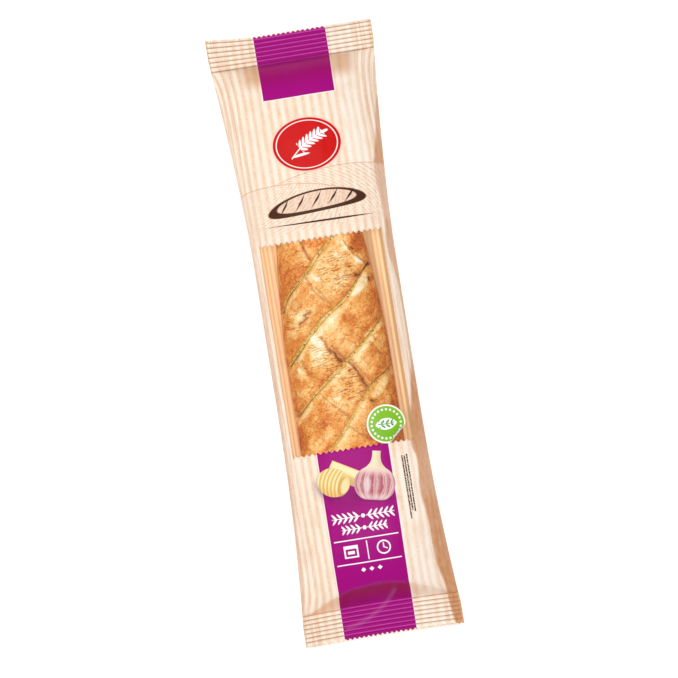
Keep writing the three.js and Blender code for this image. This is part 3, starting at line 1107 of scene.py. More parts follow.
    def seal_marks(self) -> None:
        """Pressed lines across both end seals, the painted shade next to them, and a painted highlight streak on the
        foot's band.
        """
        b, i, f = self.board, self.inks, self.form
        on_band, off_band = self.on_band, 1.0 - self.on_band
        depth = abs(self.t) - f.seal_line
        inside = b.edge(b.lower(depth + 0.5, f.crimps * f.crimp_pitch - 1.6 - depth), 0.6)
        line = b.fall(b.wave(depth / f.crimp_pitch), 0.35, 1.0)
        pressed = line * inside * (self.cloud(1.0, 4.0, 4.0) * 0.9 + 0.35)
        b.lay(i.crimp_line, pressed * off_band * 0.95)
        b.lay(i.berry_light, pressed * on_band * 0.9)
        # painted shade below the head seal: brown on the paper, darker berry on the band
        head = b.fall(self.t, 136.0, 145.0) * b.fall(self.t, 152.8, 149.5)
        head_shade_spread = b.edge(b.lower(abs(self.s - 3.5) - 16.0, 31.0 - abs(self.s - 2.0)), 12.0)
        b.lay(i.head_shade, head * head_shade_spread * off_band * 0.66)
        b.lay(i.berry_shade, head * on_band * 0.85)
        # painted shade on the slope above the foot seal: warm tan on the paper, dark berry on the band
        drop = -141.0 - self.s * self.s * 0.0066 - self.t
        foot = b.edge(drop, 1.0) * b.fall(drop, 11.5, 1.0) * b.edge(self.t + 152.0, 2.0)
        b.lay(i.foot_shade, foot * off_band * (b.fall(self.s, 45.0, -10.0) * 0.32 + 0.05))
        b.lay(i.berry_foot_shade, foot * on_band * 0.78)
        # painted highlight: a faint pale streak along a crease on the foot's band
        u, v = self.turned(-3.7, -156.7, 30.3)
        b.stamp(i.berry_crease_highlight, b.lower(0.6 - abs(v - u * u * 0.012), 17.0 - abs(u)), 3.4, on_band * 0.17)

    def fin_marks(self) -> None:
        """Pressed lines across the fin seal, and the shade beside it."""
        b, f = self.board, self.form
        on_fin = b.fall(self.s, f.fin_print - 50.0, f.fin_print - 20.0)
        b.lay(self.inks.fin_line_and_shade, on_fin * b.fall(b.wave(self.t / f.fin_rib), 0.1, 1.0) * 0.5)
        # painted shadow on the back beside the fin
        beside = b.fall(abs(self.s - f.back_print), 8.2, 6.0) * b.fall(abs(self.t), f.seal_line, f.seal_line - 4.0)
        b.lay(self.inks.fin_line_and_shade, beside * 0.5)

    def finish(self) -> Material:
        """Prints everything in order and gives the film its relief and sheen."""
        for draw in (self.kraft, self.field_drawing, self.bands, self.oval_badge, self.loaf_drawing,
                     self.butter_drawing, self.garlic_drawing, self.sprig_rows, self.panel, self.side_lines,
                     self.seal_marks, self.fin_marks):
            draw()
        b = self.board
        grain = b.bump(self.cloud(1.0, 1.0, 1.1, 3.0), 0.05)
        crackle = b.bump(self.cloud(1.0, 0.5, 7.0, 3.0), 0.5, grain)
        return b.finish(self.cloud(1.0, 1.0, 18.0) * 0.16 + 0.36, crackle, IOR=1.45, Specular_IOR_Level=0.11)


@dataclass(frozen=True)
class InsideFilm:
    """The unprinted inner side of the film: warm orange ribs that the print shines through, a painted glow by
    emission that stands in for light through the film, and painted shade beside the loaf and along the window's
    edges.
    """

    cream: str = "FCE8B8"
    rib: str = "DBA263"
    bright: str = "FAF6DA"
    left_bright: str = "FFF4CE"
    left_rib: str = "D8924C"
    loaf_shade: str = "9A5A22"
    corner_shade: str = "A06A2C"
    # colour of a painted glow that stands in for light through the film
    painted_glow: str = "F8E2AE"
    rib_pitch: float = 3.7

    def finish(self) -> Material:
        """Makes the material."""
        b = Board("film_inside")
        s, t = b.print_mm()
        drift = b.noise(b.place(s * 0.6, t * 0.03), 4.0) - 0.5
        rib = b.wave((s + drift * 2.4) / self.rib_pitch) * 0.5 + 0.5
        wide = b.noise(b.place(s, t * 0.02), 2.6, 2.0, 0.65)
        b.ground(self.cream, self.rib, b.fall(rib, 0.2, 0.9) * (wide * 1.2 + 0.2))
        b.lay(self.bright, b.fall(wide, 0.47, 0.6) * b.fall(rib, 0.6, 0.1))
        x, _, _ = b.split(b.object_mm())
        left = b.fall(x, -20.0, -24.0)
        b.lay(self.left_bright, left * (b.fall(rib, 0.7, 0.1) * 0.45 + 0.34))
        b.lay(self.left_rib, left * b.fall(rib, 0.6, 1.0) * 0.38)
        b.lay(self.loaf_shade, b.fall(x, 20.0, 25.0) * b.fall(x, 29.4, 26.2) * 0.6)
        b.lay(self.corner_shade, b.higher(b.fall(x, 31.3, 32.6) * 0.75, b.fall(x, -33.4, -34.6) * 0.6))
        # painted light: the emission makes the inner side glow though it is no lamp
        return b.finish(0.42, b.bump(rib, 0.15), Emission_Color=paint(self.painted_glow), Emission_Strength=0.29,
                        Specular_IOR_Level=0.25)


@dataclass
class PrintedFilm:
    """The opaque film: printed front with the window cut out of it, back, and fin seal."""

    form: PackForm
    outer: Material
    inner: Material
    clear: Material
    thickness: float = 0.13
    fin_wall: float = 0.3
    row_step: float = 1.2
    seal_row_step: float = 0.4
    side_columns: int = 24
    pane_lap: float = 2.6
    pane_gap: float = 0.05
    grain: Grain = field(default_factory=lambda: Grain(11))
    creases: tuple[Crease, ...] = (
        Crease((-30, 146), (-14, 118), 0.5, 3.0), Crease((26, 147), (34, 112), -0.6, 3.5),
        Crease((37, 118), (34.5, 40), 0.45, 3.2), Crease((36, 60), (36.5, -60), -0.35, 2.2),
        Crease((36, -66), (39, -142), 0.6, 3.4), Crease((-37, 120), (-36, 40), -0.35, 3.0),
        Crease((-34, -70), (-38, -140), -0.4, 3.5), Crease((-14, -162), (16, -141), 0.28, 1.5),
        Crease((-4, -160), (20, -136), -0.3, 2.0), Crease((-31, -146), (-20, -120), 0.5, 3.4),
        Crease((28, -148), (22, -124), -0.45, 3.2))

    def rows(self) -> Array:
        """Places of the sections along the pack, closest together on the seals."""
        f = self.form
        turn = f.seal_line - 2
        parts = [np.arange(f.foot_edge, -turn, self.seal_row_step)]
        for low, high in ((-turn, f.window_foot), (f.window_foot, f.window_top), (f.window_top, turn)):
            count = max(2, round((high - low) / self.row_step))
            parts.append(np.linspace(low, high, count, endpoint=False))
        return np.concatenate([*parts, np.arange(turn, f.head_edge, self.seal_row_step), [f.head_edge]])

    def columns(self, y: Array, x: Array, s: Array) -> Array:
        """Places the points of each section so that the window's teeth fall on them.

        Args:
            y: the sections' places along the pack.
            x: places across, for each section.
            s: the length along the section at each of them.

        Returns:
            The lengths at which the points are, sections by columns.
        """
        f = self.form
        steps = 4 * f.window_teeth
        layout = np.empty((len(y), 2 * self.side_columns + steps + 1))
        window = np.linspace(f.window_left, f.window_right, steps + 1)
        for row in range(len(y)):
            middle = np.interp(window, x[row], s[row])
            left = np.linspace(s[row, 0], middle[0], self.side_columns, endpoint=False)
            right = np.linspace(middle[-1], s[row, -1], self.side_columns + 1)[1:]
            even = np.linspace(s[row, 0], s[row, -1], layout.shape[1])
            near = ramp(abs(y[row] - (f.window_top + f.window_foot) / 2), 62.0, 120.0)
            layout[row] = blend(np.concatenate([left, middle, right]), even, near)
        return layout

    def tooth(self, count: int, phase: int = 0) -> Array:
        """Triangle wave from 0 to 1 over the columns, one tooth to every four."""
        place = (np.arange(count) + phase) % 4
        return np.where(place <= 2, place, 4 - place) / 2.0

    def notch(self, along: Array, edges: Pair, depth: Numbers, reach: float) -> None:
        """Draws the rows next to two cut edges inwards.

        Args:
            along: places along the pack, rows by columns, which it changes.
            edges: the upper and the lower edge.
            depth: how deep it goes at each column.
            reach: how far from an edge rows are still moved.
        """
        y = self.rows()
        for edge, way in zip(edges, (-1, 1)):
            along += way * np.clip(1 - np.abs(y - edge) / reach, 0.0, 1.0)[:, None] * depth

    def relief(self, x: Array, y: Array) -> Array:
        """Wrinkles of the film, at rest along its side folds.

        Args:
            x: places across the pack.
            y: places along it.

        Returns:
            How far the film stands out there.
        """
        f, g = self.form, self.grain
        gather = np.exp(-np.clip(f.inward(y, 1.0), 0, None) / 17.0) * ramp(f.inward(y, 5.0), 0.0, 1.0)
        height = 0.75 * gather * g.at(x, y * 0.16, 3.0, 6.5)
        height = height + 0.22 * g.rough(x, y * 0.5, 8.0, 15.0, 2) + 0.06 * g.at(x, y, 5.0, 4.0)
        for crease in self.creases:
            height = height + crease.over(x, y)
        flat = ramp(f.inward(y, 4.0), -0.4, 1.0)
        return height * arch(x / f.half_width(y), 6, 1) * blend(0.25, 1.0, flat)

    def sheet(self, x: Array, y: Array, top: bool = True, sunk: float = 0.0) -> Array:
        """Points of a sheet of the pack, moved out by its wrinkles.

        Args:
            x: places across.
            y: places along, the same shape.
            top: the printed sheet, or else the one underneath.
            sunk: how far inside the film's outer side the sheet is.

        Returns:
            The points, one more dimension.
        """
        f = self.form
        height = (f.top if top else f.bottom)(x, y)
        points = np.stack([x, y + f.bow(x, y), height], axis=-1)
        relief = self.relief(x, y) if top else 0.3 * self.relief(x, -y) * ramp(np.abs(x), 8.0, 16.0)
        return points + normals_of(points) * (relief - sunk)[..., None]

    def thicken(self, piece: Piece, wall: float, **settings: float) -> Piece:
        """Dresses a sheet and turns it into a thin wall.

        Args:
            piece: the sheet.
            wall: how thick the wall is, inwards from the outer side.
            settings: more settings of the modifier.

        Returns:
            The piece.
        """
        dress(piece, self.outer, self.inner)
        apply_modifier(piece, "SOLIDIFY", thickness=wall * MM, offset=-1.0, use_even_offset=False, **settings)
        piece.data.shade_smooth()
        return piece

    def front(self) -> Piece:
        """The printed sheet with its window."""
        f, y = self.form, self.rows()
        x_table, s_table = f.arc(y)
        s = self.columns(y, x_table, s_table)
        count = s.shape[1]
        x = np.stack([np.interp(s[i], s_table[i], x_table[i]) for i in range(len(y))])
        along = np.repeat(y[:, None], count, axis=1)
        in_window = np.pad(np.ones(4 * f.window_teeth + 1, dtype=bool), self.side_columns)
        teeth = np.where(in_window, self.tooth(count, -self.side_columns), 0.0)
        self.notch(along, (f.window_top, f.window_foot), f.window_tooth * teeth, 6.0)
        self.notch(along, (f.head_edge, f.foot_edge), f.cut_tooth * self.tooth(count), 3.0)
        piece = woven_grid("film_front", self.sheet(x, along))
        write_print(piece, s, along)
        self.cut_window(piece, y, in_window[:-1] & in_window[1:])
        return self.thicken(piece, self.thickness, material_offset=1)

    def cut_window(self, piece: Piece, y: Array, column_in: Array) -> None:
        """Deletes the faces between the window's teeth.

        Args:
            piece: the printed sheet.
            y: the places of its rows.
            column_in: for each column of faces, whether it is in the window.
        """
        f = self.form
        select_only(piece)
        row_in = (y[:-1] >= f.window_foot - 1e-6) & (y[1:] <= f.window_top + 1e-6)
        for parts in (piece.data.vertices, piece.data.edges):
            parts.foreach_set("select", np.zeros(len(parts), dtype=bool))
        piece.data.polygons.foreach_set("select", (row_in[:, None] & column_in[None]).ravel())
        bpy.ops.object.mode_set(mode="EDIT")
        bpy.ops.mesh.select_mode(type="FACE")
        bpy.ops.mesh.delete(type="FACE")
        bpy.ops.object.mode_set(mode="OBJECT")

    def back(self) -> Piece:
        """The sheet underneath, whose sides meet the front's in the side folds."""
        f, y = self.form, self.rows()
        share = np.sin(np.linspace(-1, 1, 61) * math.pi / 2)
        tucked = 0.35 * ramp(np.abs(y), f.seal_line - 10, f.seal_line)
        x = (f.half_width(y) - tucked)[:, None] * share
        along = np.repeat(y[:, None], len(share), axis=1)
        self.notch(along, (f.head_edge, f.foot_edge), f.cut_tooth * 0.5, 3.0)
        x_table, s_table = f.arc(y, top=False)
        s = np.stack([np.interp(x[i], x_table[i], s_table[i]) for i in range(len(y))])
        piece = woven_grid("film_back", self.sheet(x, along, top=False), outside_up=False)
        write_print(piece, s + f.back_print, along)
        return self.thicken(piece, self.thickness, material_offset=1)

    def fin(self) -> Piece:
        """The fin seal, folded flat along the pack's underside."""
        f = self.form
        across = np.linspace(-f.fin_width / 2, f.fin_width / 2, 17)
        x, along = np.meshgrid(across, (f.seal_line - 1) * np.sin(np.linspace(-1, 1, 121) * math.pi / 2))
        rib = 0.07 * np.cos(math.tau * along / f.fin_rib) + 0.07
        height = f.bottom(x, along) - f.fin_thickness + 0.02 + rib * arch(across / (f.fin_width / 2), 8, 1)
        piece = woven_grid("film_fin", np.stack([x, along, height], axis=-1), outside_up=False)
        write_print(piece, x + f.fin_print, along)
        return self.thicken(piece, self.fin_wall)

    def window_pane(self) -> Piece:
        """The clear film, which runs on a little way under the print."""
        f, lap = self.form, self.pane_lap
        x, along = np.meshgrid(np.linspace(f.window_left - lap, f.window_right + lap, 96),
                               np.linspace(f.window_foot - lap, f.window_top + lap, 132))
        points = self.sheet(x, along, sunk=self.thickness + self.pane_gap)
        return dress(woven_grid("window_pane", points), self.clear)


@dataclass(frozen=True)
class ClearFilm:
    """The window's clear film."""

    see: float = 0.022
    roughness: float = 0.15

    def finish(self) -> Material:
        """Makes the material, one shader with a low alpha."""
        board = Board("clear_film")
        return board.finish(self.roughness, Base_Color=(1.0, 1.0, 1.0, 1.0), Alpha=self.see, IOR=1.4)


# ---- the loaf


@dataclass(frozen=True)
class Cut:
    """A slanted garlic cut: where it crosses the axis, its angle, and how it wanders and opens."""

    middle: float
    angle: float
    wander: Pairs
    width: Pairs = ((-30, 1.12), (30, 1.12))
    sunk: Pairs = ((-30, 1.0), (30, 1.0))

    def line(self, x: Numbers, axis: float) -> Numbers:
        """Place along the loaf of the cut at places across."""
        straight = self.middle + math.tan(math.radians(self.angle)) * (x - axis)
        return straight + curve_through(self.wander, x)


CUTS = (
    Cut(76.5, 44.0, ((-30, 0), (0, 0.4), (30, 0))),
    Cut(45.7, 44.4,
        ((-30, -5.6), (-27.6, -4.6), (-24.8, -0.9), (-18.2, -0.5), (-7.7, -0.8), (-5, 0.2), (5.5, -0.6), (30, 0)),
        ((-30, 0.6), (-20, 0.77), (-12, 0.95), (-4, 1.46), (2, 1.2), (30, 1.12)),
        ((-30, 1.6), (-18, 0.9), (-5, 0.7), (6, 0.8), (30, 1.0))),
    Cut(11.4, 43.1,
        ((-30, 0), (-19, 1.35), (-12.1, 2.0), (-5.5, 1.3), (7.7, -2.4), (12.7, -1.9), (23.7, 0), (30, 0)),
        ((-30, 1.12), (-22, 1.81), (-13, 2.15), (-5, 1.72), (4, 1.12), (12, 1.29), (19, 1.12), (30, 1.38)),
        ((-30, 1.0), (-20, 0.7), (-8, 0.6), (8, 0.8), (15, 1.2), (20, 4.5), (30, 5.0))),
    Cut(-19.7, 41.2,
        ((-30, 0.9), (-22, 1.4), (-9.9, 0.8), (2.8, -0.4), (16.5, -1.4), (26.4, -0.2), (30, 0)),
        ((-30, 0.5), (-22, 0.6), (-16, 0.9), (-8, 1.1), (4, 0.95), (16, 1.0), (30, 0.8)),
        ((-30, 2.6), (-24, 2.0), (-18, 1.0), (-5, 0.8), (10, 0.7), (24, 1.2), (30, 2.0))),
    Cut(-50.3, 44.6,
        ((-30, -0.8), (-14.3, -0.8), (-7.7, -1.6), (1.1, 0.5), (10.1, 2.4), (16.5, 2.2), (25.9, -0.6), (30, 0)),
        ((-30, 1.0), (-14, 1.1), (-4, 1.2), (6, 0.9), (14, 1.0), (19, 0.6), (30, 0.5)),
        ((-30, 1.0), (-8, 0.7), (6, 0.8), (16, 1.2), (22, 2.2), (30, 2.6))),
    Cut(-81.0, 43.5, ((-30, 0), (0, -0.4), (30, 0))),
)


@dataclass(frozen=True)
class Seam:
    """A crease of the crust through a few points, with its half widths at both ends, depth and darkness."""

    points: Pairs
    widths: Pair
    depth: float
    dark: bool = False

    def pieces(self) -> list[tuple[Pair, Pair, float, float]]:
        """Its straight pieces: start, end and half width at each."""
        widths = np.linspace(*self.widths, len(self.points))
        return list(zip(self.points, self.points[1:], widths, widths[1:]))

    def relief(self, x: Array, y: Array) -> Numbers:
        """The dent with a soft fold beside it.

        Args:
            x: places across the pack.
            y: places along it.

        Returns:
            Its height there, below 0 in the dent.
        """
        height = 0.0
        for start, end, _, _ in self.pieces():
            dent = Crease(start, end, 1.0, 0.95)
            height = np.maximum(height, dent.over(x, y) - 0.55 * dent.over(x + 1.6, y + 1.2))
        return -self.depth * height


@dataclass(frozen=True)
class Patch:
    """An oval area of the crust with its own look."""

    x: float
    y: float
    long: float
    wide: float
    turn: float
    strength: float

    def over(self, x: Array, y: Array) -> Array:
        """How strongly the patch shows at places in the plane."""
        u, v = turned_axes(x - self.x, y - self.y, self.turn)
        return self.strength * ramp(np.hypot(u / self.long, v / self.wide), 1.25, 0.55)


def patches(*rows: tuple[float, ...]) -> tuple[Patch, ...]:
    """The patches of a table that gives x, y, long, wide, turn and strength."""
    return tuple(Patch(*row) for row in rows)


@dataclass
class Loaf:
    """The baguette: swollen crust between its cuts, creases, wrinkled pale patches and blisters."""

    length: float = 277.0
    width: float = 57.5
    top: float = 37.0
    x: float = -1.1
    foot: float = 2.0
    score_angle: float = 52.0
    score_pitch: float = 20.6
    score_phase: float = -7.8
    score_depth: float = 2.3
    fold_angle: float = 7.0
    row_step: float = 0.52
    hidden_row_step: float = 2.4
    top_columns: int = 186
    under_columns: int = 20
    tip: float = 0.985
    roundness: float = 2.25
    base_roundness: float = 2.7
    line_rounds: int = 12
    fold_pitch: float = 2.9
    grain: Grain = field(default_factory=lambda: Grain(5))
    seams: tuple[Seam, ...] = (
        Seam(((-11.4, 52.5), (-10.3, 46.0), (-7.6, 40.8)), (0.0, -0.3), 0.9, True),
        Seam(((-9.4, -1.2), (-7.6, -4.6), (-5.2, -9.2)), (-0.75, -0.5), 0.7, True),
        Seam(((-5.2, -9.2), (-2.4, -12.4), (-0.3, -16.8)), (0.0, 0.4), 0.9, True),
        Seam(((-3.2, -7.8), (-0.4, -12.0), (1.8, -15.0)), (-0.35, -0.1), 0.5, True),
        Seam(((3.9, -16.0), (8.3, -23.6), (11.9, -32.6)), (-0.15, 0.2), 1.0, True),
        Seam(((-19.0, 7.2), (-14.6, 10.0)), (0.05, -0.15), 0.5, True),
        Seam(((-15.6, 11.6), (-12.4, 13.0)), (0.0, -0.1), 0.4, True),
        Seam(((-12.2, 32.4), (-8.6, 24.0), (-4.0, 18.0)), (0.3, 0.1), 0.5),
        Seam(((-7.4, 26.0), (-1.0, 16.0)), (0.1, 0.2), 0.4), Seam(((-21.5, -13.0), (-18.5, -22.0)), (0.1, 0.3), 0.4),
        Seam(((-13.2, -34.3), (-7.0, -41.0), (1.1, -48.7)), (0.1, 0.3), 0.4),
        Seam(((-2.2, -52.0), (9.9, -61.9)), (0.2, 0.3), 0.45),
        Seam(((11.8, 49.0), (16.0, 41.0), (21.6, 35.6)), (0.1, 0.2), 0.6),
        Seam(((3.6, 28.4), (10.0, 29.4), (16.2, 30.4)), (0.0, 0.15), 0.35),
        Seam(((6.6, -17.4), (14.4, -29.4)), (0.0, 0.25), 0.5), Seam(((17.6, -8.6), (24.0, -17.6)), (0.1, 0.2), 0.4),
        Seam(((4.0, -4.6), (9.6, -8.0)), (0.1, 0.0), 0.3),
        Seam(((15.4, 29.2), (16.8, 29.3)), (0.5, 0.35), 0.8, True),
        Seam(((15.2, 44.6), (16.3, 43.5)), (0.2, 0.15), 0.5, True),
        Seam(((22.4, 27.2), (22.6, 25.4)), (0.1, 0.2), 0.5, True),
        Seam(((13.0, -40.2), (14.3, -41.0)), (0.2, 0.3), 0.5, True))
    pale: tuple[Patch, ...] = patches(
        (5.5, 33, 14.5, 11.5, 62, 1.0), (-9, -12, 12.5, 7.5, -62, 1.0), (2.0, -30, 13.5, 8.5, -62, 1.0),
        (-19, 10, 11, 6.5, 50, 0.6), (-14, 43, 9, 3.5, -65, 0.6), (-22, -32, 8, 4.0, 40, 0.35),
        (-19, -19, 9, 6.0, -60, 0.5), (3, -57, 6, 3.0, 30, 0.35))
    # pale cream crags and lips: partly paler crust, partly painted highlights
    cream: tuple[Patch, ...] = patches(
        (17.4, 24.0, 8.0, 3.4, 47, 1.0), (19.8, -3.2, 8.0, 2.0, 42, 1.0), (19.6, -34.0, 8.5, 2.3, 47, 1.0),
        (-6.6, 30.8, 3.6, 1.2, -42, 1.0), (12.9, 44.3, 5.0, 1.0, -62, 0.9), (18.2, 37.2, 4.0, 1.2, -48, 0.9),
        (-11.6, -3.6, 5.4, 2.4, -48, 0.9), (-4.0, -38.0, 4.0, 1.8, -30, 0.7), (-16.0, 12.0, 7.0, 3.4, 20, 0.7),
        (9.0, 46.0, 6.0, 3.0, 50, 0.5), (5.0, -19.5, 5.0, 1.1, -60, 0.6), (-22.0, -20.0, 5.0, 1.6, -60, 0.5),
        (-3.0, 3.0, 9.0, 3.0, 35, 0.4), (-10.5, -12.0, 7.0, 5.0, -62, 0.5))
    browned: tuple[Patch, ...] = patches(
        (-20, 33, 16, 7, 75, 0.7), (12, 0, 12, 8, -50, 0.9), (20, 46, 8, 6, 40, 0.8), (-22, -52, 12, 8, 60, 0.6),
        (19, -33, 12, 5, 70, 0.6), (-12, -45, 10, 6, -50, 0.45), (-3, 48, 8, 5, -40, 0.8), (13, -56, 9, 6, 30, 0.45),
        (-20, -22, 7, 6, 40, 0.35), (4, -33, 8, 6, -50, 0.35))

    @property
    def half(self) -> float:
        """Half the loaf's length."""
        return self.length / 2

    def taper(self, y: Numbers) -> Numbers:
        """Share of the full width at places along the loaf."""
        head = np.sqrt(1 - np.clip((y + 10) / (self.half + 10), 0, 1) ** 1.4)
        foot = np.sqrt(1 - np.clip((-y - 72) / (self.half - 72), 0, 1) ** 2.4)
        return np.where(y > -10, head, foot)

    def lines(self) -> list[tuple[float, Callable[[Array], Array]]]:
        """The lines that rows follow, foot to head, each with its place on the axis."""
        end = self.half * math.sin(math.pi / 2 * self.tip)
        cuts = [(cut.middle, partial(cut.line, axis=self.x)) for cut in reversed(CUTS)]
        return [(-end, partial(np.full_like, fill_value=-end)), *cuts, (end, partial(np.full_like, fill_value=end))]

    def row_places(self) -> list[tuple[int, float]]:
        """Rows as (gap between two lines, distance from the lower one along the axis)."""
        near = np.array([0.0, 0.28, 0.5, 0.66, 0.82, 0.98, 1.15, 1.4, 1.75, 2.2, 2.7])
        places = [line[0] for line in self.lines()]
        last = len(places) - 2
        rows: list[tuple[int, float]] = []
        for gap, span in enumerate(np.diff(places)):
            if gap in (0, last):
                rest = span - near[-1]
                steps = np.linspace(0, math.pi / 2, round(rest / self.hidden_row_step) + 1)
                inner = np.concatenate([near[:-1], near[-1] + rest * np.sin(steps)])
                spots = span - inner[::-1] if gap == 0 else inner
            else:
                steps = round((span - 2 * near[-1]) / self.row_step)
                middle = np.linspace(near[-1], span - near[-1], steps + 1)
                spots = np.concatenate([near[:-1], middle, span - near[:-1][::-1]])
            rows.extend((gap, float(spot)) for spot in (spots if gap == last else spots[:-1]))
        return rows

    def section(self, y: Array) -> tuple[Array, ...]:
        """Cross sections of the loaf.

        Args:
            y: places along it.

        Returns:
            Half width, and the heights of the widest line, the crown and the base.
        """
        taper = self.taper(y)
        wide = blend(17.0, 14.5, taper)
        crown = blend(wide, self.top, taper**0.62)
        base = blend(wide, self.foot, taper**0.5)
        return self.width / 2 * taper, wide, crown, base

    def surface(self) -> tuple[Array, Array, Array]:
        """Points of the plain loaf on rows that follow the cuts.

        Returns:
            The points (rows by columns by 3), each point's share of height above the widest
            line (negative below), and the loaf's share of full width there.
        """
        lines = self.lines()
        angle = np.concatenate([
            np.linspace(0, math.pi, self.top_columns, endpoint=False),
            np.linspace(math.pi, math.tau, self.under_columns, endpoint=False)])
        power = np.where(angle < math.pi, 2 / self.roundness, 2 / self.base_roundness)
        c = -np.sign(np.cos(angle)) * np.abs(np.cos(angle)) ** power
        s = np.sign(np.sin(angle)) * np.abs(np.sin(angle)) ** power
        rows = self.row_places()
        y = np.empty((len(rows), len(angle)))
        for index, (gap, place) in enumerate(rows):
            (low, low_line), (high, high_line) = lines[gap], lines[gap + 1]
            share = ramp(place / (high - low), 0.2, 0.8)
            along = np.full(len(angle), low + place)
            for _ in range(self.line_rounds):
                across = self.x + self.section(along)[0] * c
                target = blend(low_line(across) + place, high_line(across) - (high - low - place), share)
                along = 0.5 * along + 0.5 * np.clip(target, -self.half, self.half)
            y[index] = along
        half, wide, crown, base = self.section(y)
        x = self.x + half * c[None]
        z = wide + np.where(s[None] >= 0, (crown - wide) * s, (wide - base) * s)
        return np.stack([x, y, z], axis=-1), np.repeat(s[None], len(rows), axis=0), self.taper(y)

    def score_relief(self, x: Array, y: Array) -> Array:
        """The crust swells between two baker's scores and dips along each of them."""
        across = turned_axes(x, y, -self.score_angle)[1]
        swell = np.abs(np.sin(math.pi * (across - self.score_phase) / self.score_pitch))
        return self.score_depth * (swell**0.7 - 1)

    def wrinkles(self, x: Array, y: Array, z: Array) -> Array:
        """Fine folds along the loaf, and small lumps between them.

        Args:
            x, y, z: places on the plain loaf.

        Returns:
            Their height.
        """
        g = self.grain
        along, across = turned_axes(x, y, self.fold_angle)
        across = across + 1.4 * g.at(along * 0.4, y, z, 4.5)
        folds = np.cos(math.tau * across / self.fold_pitch) * ramp(g.at(along * 0.5, y + 20, z, 3.4), -0.5, 0.4)
        return 0.2 * folds + 0.18 * g.at(x, y, z, 2.0)

    def shaped(self) -> tuple[Array, dict[str, Array]]:
        """The finished crust.

        Returns:
            Its points, and the numbers that colour it.
        """
        points, s, taper = self.surface()
        g = self.grain
        up = np.clip(s, 0.0, 1.0)
        x, y, z = (points[..., axis].copy() for axis in range(3))
        points[..., 2] += np.where(s > 0, self.score_relief(x, y) * up * taper, 0.0)
        wrinkled, browned, cream_and_highlight = (sum(patch.over(x, y) for patch in patches).clip(0, 1)
                                     for patches in (self.pale, self.browned, self.cream))
        blister = np.clip(g.at(x, y, z + 40, 5.2) - 0.52, 0, None)
        pit = np.clip(g.at(x + 60, y, z, 2.7) - 0.62, 0, None)
        height = 0.75 * g.rough(x, y, z, 13.0, 2) + 0.25 * g.rough(x, y, z, 4.5, 2)
        height = height + 0.35 * cream_and_highlight + (0.12 + 0.88 * wrinkled) * self.wrinkles(x, y, z)
        height = height + 1.1 * blister - 1.6 * pit * ramp(g.at(x, y + 50, z, 14.0), 0.0, 0.5)
        height = height + sum(seam.relief(x, y) for seam in self.seams)
        # dark marks painted shade in the pits and in the deep ends of the cuts
        dark = 1.2 * pit
        buttery, lip_and_highlight = np.zeros_like(x), np.zeros_like(x)
        for cut in CUTS:
            d = (y - cut.line(x, self.x)) * math.cos(math.radians(cut.angle))
            width = curve_through(cut.width, x) * (1 + 0.16 * g.at(x, y, 0.0, 3.0))
            sunk = curve_through(cut.sunk, x)
            away = np.abs(d) - width / 2
            inside = ramp(away, 0.16, -0.10)
            beyond = np.clip(away, 0.0, None)
            lower = d < 0
            ragged = np.clip(0.65 + 0.6 * g.at(x, y, 21.0, 2.6), 0.1, 1.0)
            edge = np.where(lower, -0.35 * ramp(beyond, 1.2, 0.1), 0.12 * hump(away - 0.5, 0.45) * ragged)
            height = height * (1 - 0.8 * inside)
            height = height + (1 - inside) * (edge - 0.6 * hump(beyond, 3.4)) - (sunk + 1.9) * inside
            buttery = np.maximum(buttery, np.where(lower, ramp(beyond, 1.9 * ragged, 0.4), hump(beyond, 0.25)))
            # the pale lip below each cut: partly paler crust, partly painted highlight
            lip_and_highlight = np.maximum(lip_and_highlight, np.where(lower, hump(away - 2.3, 1.6) * ragged, 0.0))
            browned = np.maximum(browned, np.where(lower, 0.0, 0.75 * ramp(beyond, 4.6, 0.6) * (1 - inside)))
            dark = dark + inside * ramp(sunk, 1.4, 3.5)
        # painted shade: the crust is browned more towards its right side, where it lies in shade
        browned = np.clip(browned + 0.7 * ramp(x, 15.5, 23.5), 0, 1.2)
        crest_only = ramp(up, 0.02, 0.3)
        normals = -normals_of(np.concatenate([points, points[:, :1]], axis=1))[:, :-1]
        if (normals[..., 2] * s).mean() < 0:
            normals = -normals
        points = points + normals * (height * crest_only)[..., None]
        points[..., 2] = np.maximum(points[..., 2], self.foot - 0.6)
        # the rim by the widest line is browned, partly darker crust and partly painted shade, stronger on the right
        rim = ramp(up, 0.75, 0.25) * (0.35 + 0.65 * ramp(x, -16.0, 12.0))
        values = {"pale": wrinkled, "lip_and_highlight": 0.75 * lip_and_highlight + cream_and_highlight, "dark": dark, "butter": buttery}
        values = {name: np.clip(value, 0, 1) * crest_only for name, value in values.items()}
        # brown carries real browning and the painted shade of the right side and rim
        values["brown"] = np.clip(browned + rim + 0.3 * blister, 0, 1)
        return points, values

    def build(self, material: Material) -> Piece:
        """The crust as one closed mesh.

        Args:
            material: the baked crust.

        Returns:
            The piece.
        """
        points, values = self.shaped()
        piece = rolled_tube("loaf", points)
        for name, numbers in values.items():
            write_values(piece, name, numbers)
        return dress(piece, material)

    def crown_at(self, x: Array, y: Array) -> tuple[Array, Array]:
        """The crust without its fine relief.

        Args:
            x: places across the pack.
            y: places along it.

        Returns:
            The height there, and its share of the full rise above the widest line.
        """
        half, wide, crown, _ = self.section(y)
        c = np.clip(np.abs(x - self.x) / half, 0.0, 0.999)
        s = np.sin(np.arccos(c ** (self.roundness / 2))) ** (2 / self.roundness)
        return wide + (crown - wide) * s + self.score_relief(x, y) * s * self.taper(y), s


